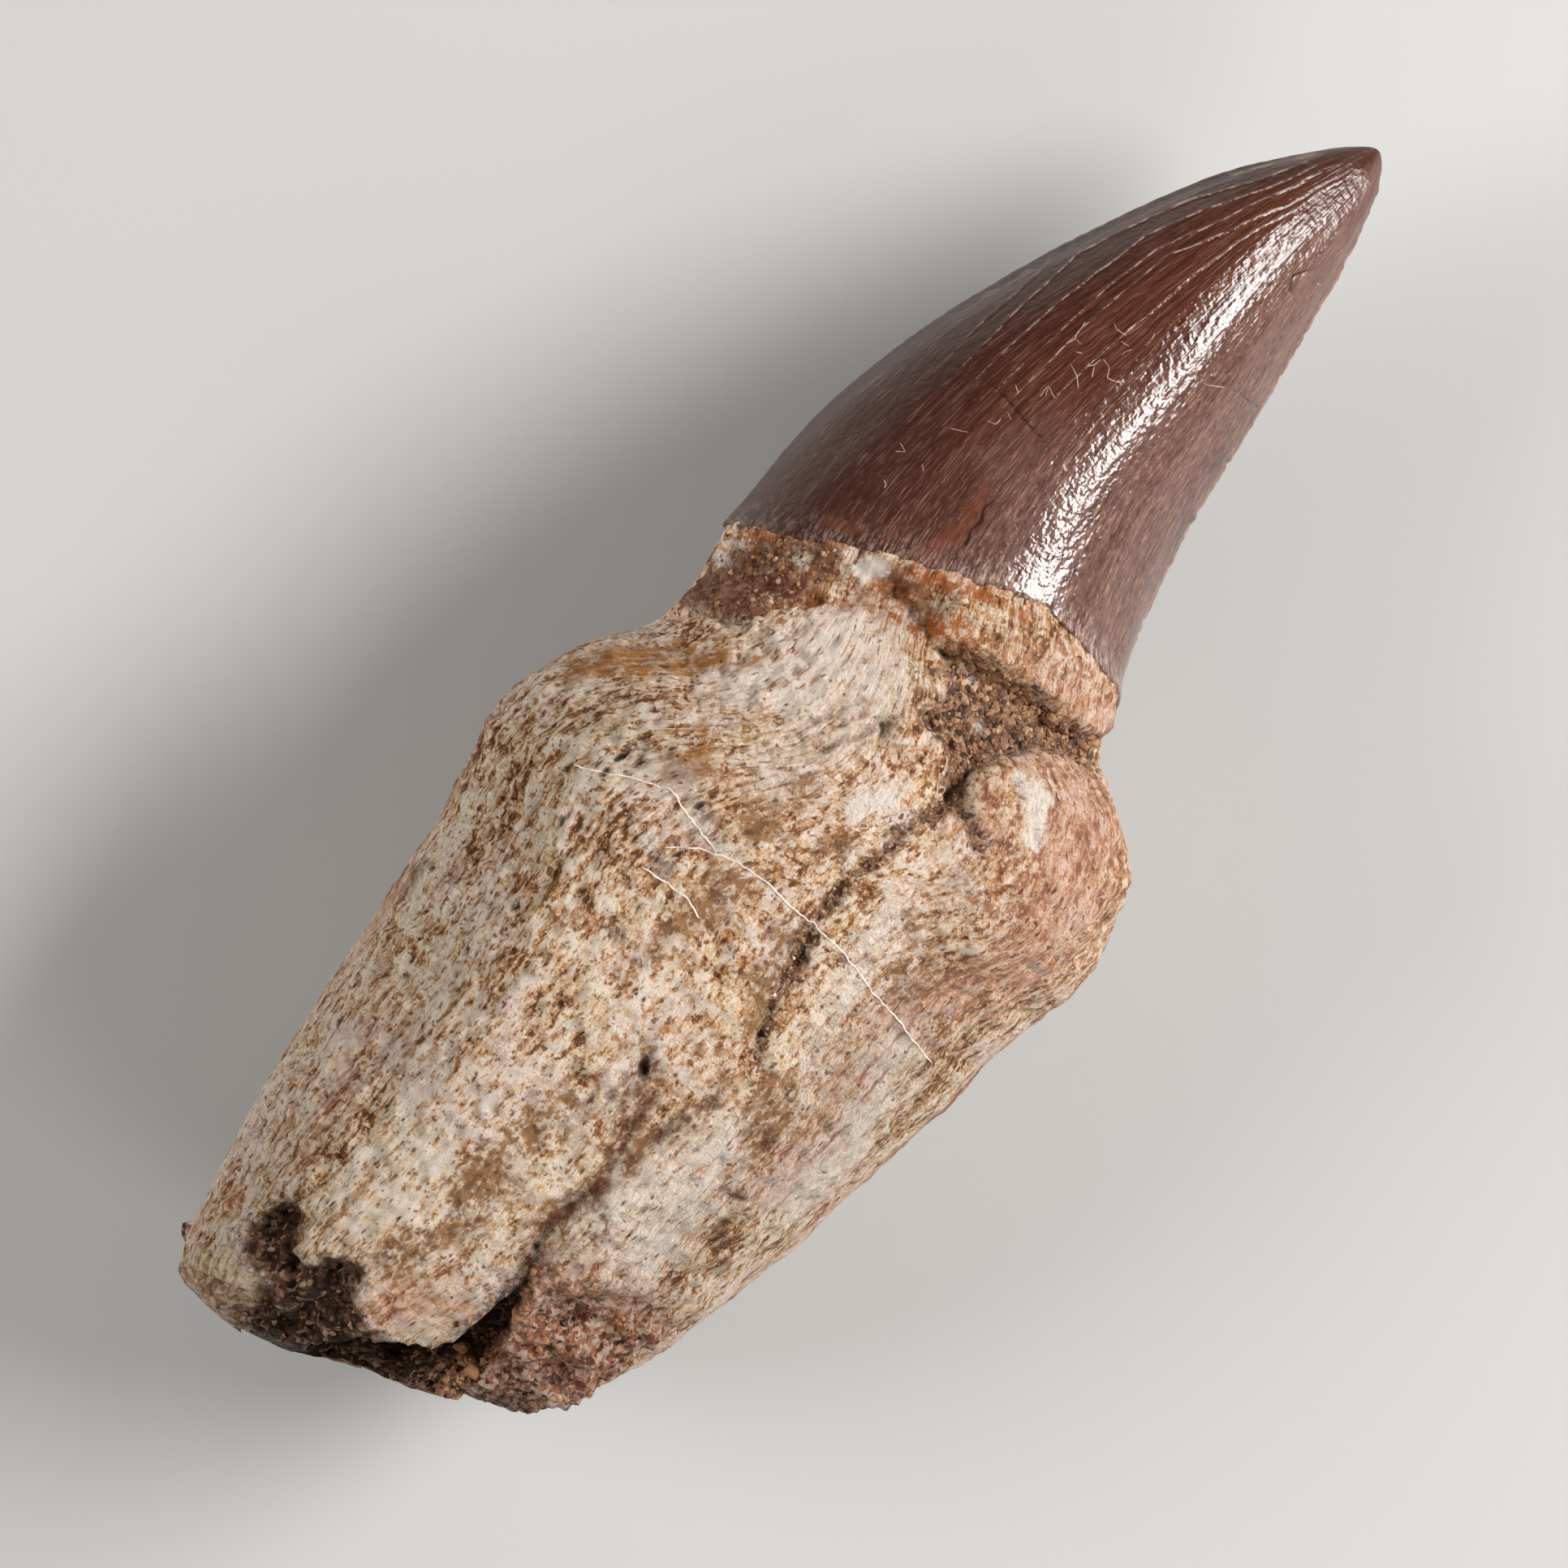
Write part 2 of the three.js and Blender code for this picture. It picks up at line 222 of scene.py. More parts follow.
def hashes(cell, seed):
    """A well mixed whole number for each cell of space."""
    x, y, z = (cell[:, k].astype(np.int64).astype(np.uint32) for k in range(3))
    mixed = x * np.uint32(0x8DA6B343) ^ y * np.uint32(0xD8163841) ^ z * np.uint32(0xCB1AB31F)
    mixed = mixed ^ np.uint32((seed * 0x9E3779B1) & 0xFFFFFFFF)
    for shift, factor in ((15, 0x2C1B3C6D), (12, 0x297A2D39)):
        mixed = (mixed ^ (mixed >> np.uint32(shift))) * np.uint32(factor)
    return mixed ^ (mixed >> np.uint32(15))


def shares(mixed):
    """Three random shares, 0 to 1, from each whole number."""
    return np.stack([((mixed >> np.uint32(s)) & np.uint32(1023)) / 1023 for s in (0, 10, 20)], 1)


def noise(points, size, seed):
    """Smooth noise, about -1 to 1, with lumps of the given size in mm."""
    p = points / np.asarray(size, float)
    corner = np.floor(p)
    inner = p - corner
    fade = inner ** 3 * (inner * (inner * 6 - 15) + 10)
    total = np.zeros(len(p))
    for offset in itertools.product((0, 1), repeat=3):
        slope = shares(hashes(corner + offset, seed)) * 2 - 1
        weight = np.prod(np.where(offset, fade, 1 - fade), axis=1)
        total += weight * np.sum(slope * (inner - offset), axis=1)
    return total * 1.6


def noises(points, *layers):
    """A sum of noises. Each layer has a height, a size in mm and a seed."""
    return sum(height * noise(points, size, seed) for height, size, seed in layers)


def cells(points, size, seed):
    """The distance to the nearest of many scattered seeds, and that seed's random share."""
    p = points / np.asarray(size, float)
    corner = np.floor(p)
    nearest = np.full(len(p), np.inf)
    share = np.zeros(len(p))
    for offset in itertools.product((-1, 0, 1), repeat=3):
        mixed = hashes(corner + offset, seed)
        gap = np.linalg.norm(corner + offset + shares(mixed) - p, axis=1)
        closer = gap < nearest
        nearest = np.where(closer, gap, nearest)
        share = np.where(closer, hashes(corner + offset, seed + 1) / 2 ** 32, share)
    return nearest, share


# ---- The bare form ----

def bare_points(place, share, angle):
    leaning = BASE_LEAN["offset"] - BASE_LEAN["slope"] * share * np.cos(angle)
    near_base = np.maximum(0, 1 - place / BASE_LEAN["reach"]) ** 2
    off_edge = np.minimum(1, np.abs(place - EDGE_MEAN) / EDGE_REACH)
    near_edge = (1 - off_edge ** 2) ** 2
    x = place + leaning * near_base + (enamel_edge(angle) - EDGE_MEAN) * near_edge
    front, back, under, top, power = (station(field, x) for field in FIELDS)

    def bulge(value):
        return np.sign(value) * np.abs(value) ** (2 / power)

    y = (front - back) / 2 + share * (front + back) / 2 * bulge(np.cos(angle))
    z = (top + under) / 2 + share * (top - under) / 2 * bulge(np.sin(angle))
    return np.stack([x, y, z], 1)


def facing(place, share, angle):
    step = 0.02
    lengthwise = bare_points(place + step, share, angle) - bare_points(place - step, share, angle)
    around = bare_points(place, share, angle + step) - bare_points(place, share, angle - step)
    outward = np.cross(around, lengthwise)
    return outward / np.maximum(np.linalg.norm(outward, axis=1, keepdims=True), 1e-12)


def fibre_space(x, angle, height):
    """Where each place lies among the bone's fibres: along them, and across in two ways.

    The fibres run lengthwise, and fan out towards the front shoulder below the neck."""
    fan = FIBRES["fan"] * np.maximum(0, np.sin(2 * angle)) * (np.cos(angle) > 0)
    turned = angle - fan * smoothstep(x, FIBRES["from"], FIBRES["to"])
    radius = FIBRES["radius"] + height
    return np.stack([x, radius * np.cos(turned), radius * np.sin(turned)], 1)


def seen_from_above(points):
    """Where each place shows from the eye above the tooth, measured at mid height."""
    x, y, z = EYE
    spread = (z - SEEN_LEVEL) / (z - points[:, 2])
    return x + (points[:, 0] - x) * spread, y + (points[:, 1] - y) * spread


def round_end(end):
    """The rings of a rounded end: how far inside its end each is, and its size."""
    turn = (np.arange(end["rings"]) + 1) / (end["rings"] + 1) * math.pi / 2
    inset = end["depth"] * (1 - np.cos(turn) ** (2 / end["power"]))
    return inset, np.sin(turn) ** (2 / end["power"])


def ring_faces(rings, around):
    """Triangles between the rings of a closed tube, and to one point more at each end."""
    i = np.arange(around)
    j = (i + 1) % around
    starts = 1 + np.arange(rings - 1)[:, None] * around
    a, b = starts + i, starts + j
    c, d = a + around, b + around
    tip = 1 + rings * around
    last = tip - around
    fan_in = np.stack([np.zeros_like(i), 1 + j, 1 + i], 1)
    fan_out = np.stack([np.full_like(i, tip), last + i, last + j], 1)
    sides = [np.stack([a, b, d], 2).reshape(-1, 3), np.stack([a, d, c], 2).reshape(-1, 3)]
    return np.vstack([fan_in, *sides, fan_out])


class Skin:
    """The points of a piece before its relief, in rings, with one point more at each end."""

    def __init__(self, rings, around):
        rings = np.array(rings)
        even = np.arange(around) / around * 2 * math.pi
        ring_angles = even + TOP_CROWDING * (np.cos(even) - 1)
        first, last = rings[0].copy(), rings[-1].copy()
        first[1] = last[1] = END_SHARE
        per_point = np.vstack([first, np.repeat(rings, around, axis=0), last])
        self.place, self.share, self.drop = per_point.T
        self.angle = np.concatenate([[0], np.tile(ring_angles, len(rings)), [0]])
        self.rings = len(rings)
        self.around = around

    def settle(self):
        self.bare = bare_points(self.place, self.share, self.angle)
        self.outward = facing(self.place, self.share, self.angle)
        self.x, self.y, self.z = self.bare.T
        self.up = np.sin(self.angle) * self.share
        self.on_top = smoothstep(self.outward[:, 2], 0, 0.4)
        self.fibre = fibre_space(self.x, self.angle, 0)
        self.seen_x, self.seen_y = seen_from_above(self.bare)
        return self

    def faces(self):
        return ring_faces(self.rings, self.around)


# ---- Relief of the root ----

PIT_OUTLINE = [
    (52.2, 0.9), (52.8, -0.3), (53.1, -1.6), (53.3, -3.1), (53.4, -4.1), (53.5, -5.2), (53.3, -6.4),
    (53.3, -7.4), (53.5, -8.5), (54.1, -9.1), (54.2, -10.4), (54.0, -13.0), (52.4, -13.0),
    (52.6, -11.1), (52.4, -10.0), (52.2, -9.1), (51.8, -7.9), (51.3, -6.8), (50.6, -6.1),
    (49.7, -5.6), (48.6, -5.1), (47.8, -5.3), (47.0, -5.3), (46.2, -4.9), (46.8, -4.2),
    (47.8, -3.7), (48.4, -3.0), (48.6, -1.8), (48.7, -1.1), (49.4, -1.1), (50.3, -1.4),
    (51.0, -1.2), (51.4, -0.2),
]
PIT_DEPTH = {"near_collar": 0.75, "far": 0.95}
ROOT_MESH = {"around": 300, "lower": 188, "upper": 84, "denser_from": 44.0}
CRACK = {"depth": 0.5, "path": [
    (46.4, -5.0, 0.3), (43.9, -4.3, 0.12), (42.4, -4.1, 0.2), (40.9, -4.1, 0.35), (39.6, -3.7, 0.4),
    (38.3, -3.6, 0.2), (36.9, -3.7, 0.2), (35.9, -3.7, 0.45), (34.6, -4.4, 0.5), (33.2, -4.6, 0.35),
    (31.9, -4.8, 0.2), (30.8, -5.2, 0.2), (29.5, -5.9, 0.25), (28.3, -6.6, 0.22),
]}
# The lower edge of the collar: y, and how far along it lies.
COLLAR_EDGE = np.array([
    (-12.0, 56.0), (-9.0, 54.3), (-8.4, 53.5), (-6.3, 53.4), (-5.1, 53.6), (-2.9, 53.4),
    (-1.5, 53.2), (-0.2, 52.9), (1.0, 52.4), (3.3, 53.0), (4.7, 53.0), (6.1, 51.8), (7.5, 50.3),
    (8.7, 48.6), (9.7, 46.9), (11.5, 45.8), (12.9, 44.4),
])
# The edge of the plate over the notch: how far along, and y.
PLATE_EDGE = np.array([
    (0.0, 4.0), (3.6, 0.6), (4.8, -1.1), (5.8, -2.9), (6.9, -3.3), (9.1, -3.7), (10.5, -3.9),
    (12.2, -4.0), (13.9, -3.8),
])
# The width of the notch: how far along, and how wide.
NOTCH_WIDTH = np.array([(3.0, 3.4), (7.0, 2.6), (8.6, 1.3), (10.5, 0.8), (12.5, 0.45), (13.8, 0.1)])
# The bone is broken away in two areas of the top: a dark one and a pink, crystalline one.
DARK_BREAK = [
    (3.9, 8.9), (5.5, 9.0), (6.9, 8.4), (6.5, 7.4), (5.2, 6.8), (5.0, 5.3), (6.3, 4.0), (6.7, 2.7),
    (5.0, 2.4), (4.5, 0.9), (4.4, -1.3), (5.2, -3.1), (0.0, -4.0), (-4.0, 6.0), (3.0, 6.4),
    (3.3, 7.6),
]
PINK_BREAK = [
    (13.6, -4.0), (13.8, -5.2), (14.5, -6.8), (14.6, -8.7), (15.4, -10.4), (15.4, -14.0),
    (11.3, -16.0), (-2.0, -16.0), (-2.0, -3.0), (5.0, -3.1), (8.7, -4.8), (12.0, -4.4),
]
END_CAP = 0.97  # the size below which a ring is on the broken end itself
# Each area, how far its edge fades, and how deep it lies.
BREAKS = [(DARK_BREAK, 0.5, 1.0), (PINK_BREAK, 2.2, 0.2)]
CALCITE = [(-2.0, 10.5), (2.1, 10.5), (3.2, 9.2), (3.2, 7.4), (2.1, 5.9), (0.6, 7.0), (-2.0, 8.0)]
KNOB = {"at": (47.5, -0.9), "radius": 1.35, "height": 0.5}
# The share of the cells that hold a pore, at the front and on the rest of the root.
PORES = {"depth": 0.3, "size": (1.9, 0.95, 0.95), "rest": 0.03, "front": 0.14}
# Grooves and holes of the top: depth, where it starts and ends in mm inside the edge, path.
GROOVES = [
    (0.5, (-0.4, 0.2), [(47.2, 0.3, 0.04), (46.7, -0.1, 0.02)]),
    (0.9, (-0.25, 0.15), [(24.6, -1.9, 0.3), (24.9, -1.7, 0.3)]),
    (0.5, (-0.25, 0.2), [(24.4, -1.8, 0.3), (22.4, -1.9, 0.15)]),
    (0.5, (-0.6, 0.3), [(46.8, -5.3, 0.4), (45.9, -6.4, 0.3), (45.4, -7.8, 0.3),
                        (45.2, -9.7, 0.15)]),
    (0.3, (-0.25, 0.15), [(36.0, -10.2, 0.3), (34.6, -10.6, 0.25), (32.6, -10.9, 0.2)]),
]
FLAKE = (0.35, (-0.25, 0.15))
# How high or deep the low forms of the root are.
LOW = {"collar": 0.35, "under_collar": 0.25, "beside_slab": 0.22, "round_knob": 0.2,
       "round_crack": 0.12, "broken": 0.45, "calcite": 0.15, "lobe": 0.3}
FLAKES = [[(54.0, 2.0, 0.04), (54.1, 1.0, 0.05), (54.2, -0.3, 0.03)],
          [(43.9, 1.8, 0.0), (46.5, 0.55, 0.05)], [(44.3, 2.6, 0.0), (46.9, 1.35, 0.05)],
          [(44.8, 3.3, 0.0), (47.4, 2.05, 0.05)], [(24.2, -1.4, 0.05), (21.8, -1.5, 0.0)],
          [(24.2, -2.2, 0.05), (22.0, -2.25, 0.0)], [(23.0, -0.3, 0.0), (20.9, -0.9, 0.05)],
          [(26.2, -5.9, 0.0), (21.9, -4.6, 0.05)], [(24.0, -3.1, 0.1), (20.5, -3.7, 0.15)],
          [(18.7, 9.9, 0.3), (15.4, 9.7, 0.2)],
          [(22.2, -9.9, 0.25), (17.5, -11.1, 0.2)], [(31.0, 13.0, 0.3), (26.0, 12.6, 0.25)]]


def lumps(x, y, z):
    large = np.sin(0.9 * x + 1.1 * y + 2) * np.sin(z - 0.7 * y + 0.6)
    small = np.sin(1.9 * y - 1.3 * z + 1) * np.sin(1.7 * z + 1.5 * x + 4)
    return large + 0.4 * small


def lobe(x, y):
    """The swollen lobe: a clear edge towards the crown, and a gentle slope towards the base."""
    ahead = x - LOBE["x"]
    outward = np.hypot(np.where(ahead < 0, 0.62 * ahead, ahead), y - LOBE["y"]) / LOBE["radius"]
    power = lerp(1.3, 0.5, smoothstep(ahead, -2.5, 1.5))
    return LOBE["height"] * np.maximum(0, 1 - outward ** 2) ** power


def past_collar(x, y):
    """How far above the collar's lower edge a place is, in mm."""
    return x - np.interp(y, COLLAR_EDGE[:, 0], COLLAR_EDGE[:, 1])


def pit(x, y):
    """The hollow under the collar, deepest beside the collar's lower edge."""
    inside = inside_outline(PIT_OUTLINE, x, y)
    nearer = smoothstep(past_collar(x, y), -3.0, -0.4)
    depth = lerp(PIT_DEPTH["far"], PIT_DEPTH["near_collar"], nearer)
    return depth * smoothstep(inside, -0.12, 0.3)


def slab(x, y):
    along, across = SLAB["line"].T
    t = (x - along[0]) / (along[-1] - along[0])
    behind = np.interp(x, along, across) - y
    lengthwise = smoothstep(t, -0.1, 0.1) * fade_out(t, 0.9, 1.2)
    step = smoothstep(behind, -SLAB["edge"], SLAB["edge"])
    raised = SLAB["height"] * step * fade_out(behind, 1, SLAB["fade"])
    beside = LOW["beside_slab"] * fade_out(np.abs(behind + 0.5), 0, 0.8)
    return lengthwise * (raised - beside)


def top_relief(x, y):
    """The large forms of the top that the root and the crown share."""
    raised = lobe(x, y) + slab(x, y) + COLLAR_RIM["height"] * trench(COLLAR_RIM["path"], x, y)
    return raised - NECK["depth"] * trench(NECK["path"], x, y)


def collar_step(x, y):
    """The collar stands a little above the bone below it."""
    past = past_collar(x, y)
    groove = LOW["under_collar"] * fade_out(np.abs(past + 0.3), 0, 0.5)
    return LOW["collar"] * smoothstep(past, -0.1, 0.25) - groove


def small_forms(x, y, in_crack):
    """The crack, the knob, the holes, the grooves and the edges of flakes."""
    sunk = CRACK["depth"] * smoothstep(in_crack, -0.2, 0.12)
    sunk += LOW["round_crack"] * smoothstep(in_crack, -1.2, 0)
    off_knob = np.hypot(x - KNOB["at"][0], y - KNOB["at"][1]) / KNOB["radius"]
    knob = KNOB["height"] * fade_out(off_knob, 0.35, 0.95)
    knob -= LOW["round_knob"] * fade_out(np.abs(off_knob - 1.1), 0, 0.4)
    for depth, edge, path in GROOVES + [(*FLAKE, path) for path in FLAKES]:
        sunk += depth * smoothstep(reach(path, x, y), *edge)
    return knob - sunk


def notch(x, y):
    """The narrow V-shaped notch of the broken end, steep under the plate's edge."""
    below = np.interp(x, PLATE_EDGE[:, 0], PLATE_EDGE[:, 1]) - y
    width = np.interp(x, NOTCH_WIDTH[:, 0], NOTCH_WIDTH[:, 1])
    return smoothstep(below, -0.1, 0.3) * fade_out(below, width - 0.2, width + 0.6)


def pores(skin):
    """Long pores that follow the fibres. 1 at the middle of a pore, 0 outside."""
    bent = skin.fibre + 0.4 * noise(skin.fibre, 1.0, 22)[:, None]
    off, share = cells(bent, PORES["size"], 21)
    front = smoothstep(skin.fibre[:, 1], -2, 12)
    density = PORES["rest"] + PORES["front"] * front * fade_out(skin.x, 36, 44)
    size = 0.7 + 3.4 * share
    return (share < density) * fade_out(off, 0.12 * size, 0.3 * size)


def broken_part(skin, x, y):
    """1 where the bone is broken away and granular, 0 on its old surface."""
    on_end = RUBBLE["end"] - (skin.x + RUBBLE["lean"] * skin.y)
    on_end = on_end - 6 * np.clip(skin.on_top * 1.5, 0, 1)
    on_end = np.where(skin.share < END_CAP, 3.0, on_end)
    broken = smoothstep(on_end, -0.4, 0.4)
    skin.sunk = broken.copy()
    x = x + 0.5 * noise(skin.bare, 2.6, 15) + 0.4 * noise(skin.bare, 0.8, 17)
    y = y + 0.4 * noise(skin.bare, 2.6, 16) + 0.4 * noise(skin.bare, 0.8, 18)
    for outline, edge, depth in BREAKS:
        inside = np.minimum(inside_outline(outline, x, y), 4 * skin.on_top - 1)
        share = smoothstep(inside, -edge, edge)
        broken = np.maximum(broken, share)
        skin.sunk = np.maximum(skin.sunk, depth * share)
    return broken


def root_texture(skin, broken, calm):
    """Undulations, fibres, grit and rubble, in mm."""
    points, fibre = skin.bare, skin.fibre
    waves = noises(points, (0.22, 7.0, 1), (0.14, 3.0, 2))
    fibres = noises(fibre, (0.11, (5.5, 1.0, 1.0), 3), (0.08, (2.2, 0.55, 0.55), 4))
    aside = np.maximum(smoothstep(skin.seen_y, 1, 9), smoothstep(-skin.seen_y, 6, 12))
    middle = lerp(0.6, 0.25, smoothstep(skin.x, 22, 36))
    fibrous = (1 - 0.7 * smoothstep(skin.x, 34, 44)) * lerp(1, lerp(middle, 1, aside), skin.on_top)
    fibres = fibres * (0.3 + 0.7 * fibrous)
    grit = noises(points, (0.22, 1.1, 5), (0.2, 0.55, 6))
    clods, _ = cells(points, 1.7, 7)
    crumbs, _ = cells(points, 0.75, 9)
    rubble = 0.6 * noise(points, 2.8, 8) - 0.6 * smoothstep(clods, 0.15, 0.8)
    rubble = 0.8 * (rubble - 0.32 * smoothstep(crumbs, 0.15, 0.75) + 0.2)
    fine = (fibres * (1 - broken) + grit * (1 + 0.5 * broken)) * (1 - 0.75 * calm)
    skin.relief = fine / 0.25
    skin.fibrous = fibrous
    worn = lerp(0.4, 1, np.maximum(skin.on_top, broken))
    return waves + worn * fine + broken * rubble * (1 - calm)


def drifted(skin):
    """Where each place shows from the eye, drifting a little, so that no edge is straight."""
    drift = [noises(skin.bare, (0.22, 1.8, 11 + k), (0.2, 0.75, 13 + k)) for k in (0, 1)]
    return skin.seen_x + drift[0], skin.seen_y + drift[1]


def flutes(skin):
    """Shallow lengthwise flutes all round the root."""
    start, end, fade = FLUTES["from"], FLUTES["to"], FLUTES["fade"]
    there = smoothstep(skin.x, start, start + fade) * fade_out(skin.x, end - fade, end)
    wave = np.cos(FLUTES["count"] * skin.angle + FLUTES["twist"] * skin.x)
    return there * (FLUTES["depth"] * wave)


def calcite_share(skin, x, y):
    """1 on the glassy calcite of the broken end, 0 elsewhere."""
    inside = inside_outline(CALCITE, x, y) + 0.6 * noise(skin.bare, 1.5, 54)
    share = smoothstep(inside, -0.1, 0.1) * smoothstep(skin.outward[:, 2], -0.5, -0.1)
    skin.calcite = np.minimum(inside, 3 * share - 1)
    return share


def root_relief(skin):
    """How far the root stands out from the bare form, and the areas that its colours need."""
    x, y = drifted(skin)
    skin.warped_x, skin.warped_y = x, y
    skin.crack = reach(CRACK["path"], x, y)
    skin.crack += noises(skin.bare, (0.34, 1.3, 51), (0.2, 0.5, 52))
    skin.pit = pit(x, y) * skin.on_top
    calcite = calcite_share(skin, x, y)
    broken = skin.broken = broken_part(skin, x, y)
    skin.pore = pores(skin) * (1 - broken)
    forms = top_relief(skin.seen_x, skin.seen_y) + small_forms(x, y, skin.crack) + collar_step(x, y)
    forms = forms - LOW["broken"] * skin.sunk + LOW["calcite"] * calcite
    height = skin.on_top * forms + flutes(skin)
    height += RUBBLE["height"] * broken * lumps(skin.x, skin.y, skin.z)
    visible = fade_out(skin.place, EDGE_MEAN - 0.2, EDGE_MEAN + 0.4)
    height += (root_texture(skin, broken, 0.6 * calcite) - PORES["depth"] * skin.pore) * visible
    on_lobe = skin.on_top * fade_out(np.hypot(x - LOBE["x"], y - LOBE["y"]), 3.0, 5.0)
    height += LOW["lobe"] * on_lobe * noise(skin.bare, 2.0, 53)
    deepening = smoothstep(NOTCH["start"] - skin.x, 0, NOTCH["deepest"])
    skin.notch = notch(x, y) * smoothstep(skin.up, 0.1, 0.9) * deepening
    return height


def root_rings():
    inset, share = round_end(BASE_END)
    lower = np.linspace(BASE_END["depth"], ROOT_MESH["denser_from"], ROOT_MESH["lower"])
    upper = np.linspace(ROOT_MESH["denser_from"], EDGE_MEAN + 1.0, ROOT_MESH["upper"])[1:]
    rings = [(place, size, 0) for place, size in zip(inset, share)]
    rings += [(place, 1, 0) for place in [*lower, *upper]]
    rings += [(EDGE_MEAN + 1.2, 0.9, 0), (EDGE_MEAN + 1.2, 0.5, 0)]
    return rings


def shape_root():
    skin = Skin(root_rings(), ROOT_MESH["around"]).settle()
    height = root_relief(skin)
    points = skin.bare + skin.outward * height[:, None]
    sideways = fade_out(skin.outward[:, 2], 0.35, 0.8)
    inward = -skin.outward * sideways[:, None]
    inward[:, 2] -= 1 - sideways
    points += inward * skin.pit[:, None]
    points[:, 0] += NOTCH["inset"] * skin.notch
    points[:, 2] = np.maximum(points[:, 2] - NOTCH["depth"] * skin.notch, 0)
    skin.place_now = points.copy()
    sunk = height - skin.pit - NOTCH["depth"] * skin.notch
    skin.fibre = fibre_space(points[:, 0], skin.angle, 0.3 * sunk)
    return skin, points


# ---- Relief of the crown ----

# Where the ridges of the top run: for each distance along, their y from front to back. The
# first and the last only bound the others.
RIDGES_AT = (56.0, 61.0, 66.0, 70.0, 73.0, 76.0, 79.0, 82.0, 86.0)
RIDGES = [(20.0, 20.0, 18.0, 16.0, 14.0, 12.0, 10.0, 8.0, 4.0),
          (10.6, 10.4, 9.9, 9.4, 8.9, 7.7, 6.2, 4.3, 1.9),
          (9.6, 9.5, 9.1, 8.7, 8.2, 7.0, 5.4, 3.6, 1.5),
          (8.6, 8.5, 8.1, 7.5, 6.9, 6.1, 4.7, 3.0, 1.15),
          (7.3, 7.2, 6.9, 6.3, 5.9, 5.3, 3.85, 2.45, 0.8),
          (6.5, 6.4, 6.0, 5.6, 5.2, 4.7, 3.1, 1.6, 0.25),
          (5.0, 4.9, 4.5, 4.0, 3.5, 3.05, 2.3, 1.2, 0.0),
          (-10.0,) * 9]
RIDGE = {"height": 0.05, "half_width": 0.15, "from": 61.0, "to": 70.0, "tip": 86.5}
CROWN_MESH = {"around": 430, "rings": 200}
# How high or deep the enamel's fine forms are, and how close to the keels two of them keep.
FINE = {"striae": 0.008, "waves": 0.05, "wrinkles": 0.012, "front_nicks": 0.03,
        "back_nicks": 0.09, "cracks": 0.03, "chips": 0.15, "worn": 0.1}
KEEL_POWER = {"nicks": 400, "pale": 300}
CROWN_CRACKS = [
    [(63.4, 11.2, 0.03), (64.4, 9.0, 0.05), (64.7, 7.0, 0.09), (64.4, 4.6, 0.08), (64.2, 3.0, 0.04)],
    [(61.9, 3.5, 0.02), (61.0, 3.7, 0.05), (60.2, 3.45, 0.04), (59.4, 3.6, 0.08),
     (58.8, 3.3, 0.12), (58.1, 3.4, 0.08), (57.3, 3.1, 0.1)],
    [(72.6, -0.6, 0.02), (72.9, -3.2, 0.06), (73.4, -4.6, 0.04)],
    [(80.4, -1.3, 0.03), (79.6, -0.9, 0.07), (78.9, -1.2, 0.06), (78.6, -1.9, 0.02)],
]
KEEL_CHIPS = [[(83.6, -2.7, 0.2)], [(80.3, -2.9, 0.22)], [(74.8, -3.7, 0.12)], [(69.6, -4.4, 0.12)]]
CROWN_RUST = [[(55.4, 4.4, 0.5), (57.4, 3.9, 0.5), (60.2, 4.0, 0.2)], [(55.2, 6.4, 0.2)],
              [(53.4, 9.3, 0.3), (54.2, 7.9, 0.2)]]
WORN_TIP = [(83.3, 4.1, 0.35), (84.4, 3.3, 0.4), (85.4, 2.4, 0.3)]


def across_share(x, y):
    """How far across the crown a place is: 0 at its front edge, 1 at its back edge."""
    front, back = station("front", x), station("back", x)
    return (front - y) / np.maximum(front + back, 0.1)


def crown_rings():
    """The crown's rings: place, size, and how far below the enamel's surface they lie."""
    thickness = ENAMEL["thickness"]
    rings = [(EDGE_MEAN + 0.8, 0.5, 1.0), (EDGE_MEAN + 0.6, 0.9, 1.0)]
    rings += [(EDGE_MEAN + 0.3, 1, 1.2), (EDGE_MEAN, 1, thickness + 0.5)]
    rings += [(EDGE_MEAN, 1, thickness * share) for share in (1.0, 0.6, 0.25)]
    rings += [(EDGE_MEAN + 0.05, 1, 0.04)]
    straight = np.linspace(EDGE_MEAN + 0.15, LENGTH - TIP_END["depth"], CROWN_MESH["rings"])
    rings += [(place, 1, 0) for place in straight]
    inset, share = round_end(TIP_END)
    rings += [(LENGTH - i, size, 0) for i, size in zip(inset[::-1], share[::-1])]
    return rings


def fray_edge(skin):
    """Makes the enamel's edge a little uneven."""
    spots = np.stack([12 * np.cos(skin.angle), 12 * np.sin(skin.angle), 0 * skin.angle], 1)
    fray = noises(spots, (0.16, 2.4, 31), (0.1, 0.8, 32))
    skin.place = skin.place + fray * fade_out(skin.place, EDGE_MEAN, EDGE_MEAN + 3)


def number_ridges(skin, seen_x, seen_y):
    """Counts the ridges from the front to each place, in fractions, and how far apart they lie."""
    lines = np.array([np.interp(seen_x, RIDGES_AT, ridge) for ridge in RIDGES])
    gaps = lines[:-1] - lines[1:]
    passed = np.clip((lines[:-1] - seen_y) / gaps, 0, 1)
    skin.ridge_phase = passed.sum(0)
    skin.ridge_spacing = np.where((passed > 0) & (passed < 1), gaps, 0).sum(0)
    inside = smoothstep(skin.ridge_phase, 0.9, 1.0) * fade_out(skin.ridge_phase, 6.0, 6.02)
    tip = fade_out(seen_x, RIDGE["tip"] - 3, RIDGE["tip"])
    skin.ridged = inside * tip * smoothstep(seen_x, RIDGE["from"], RIDGE["to"]) * skin.on_top


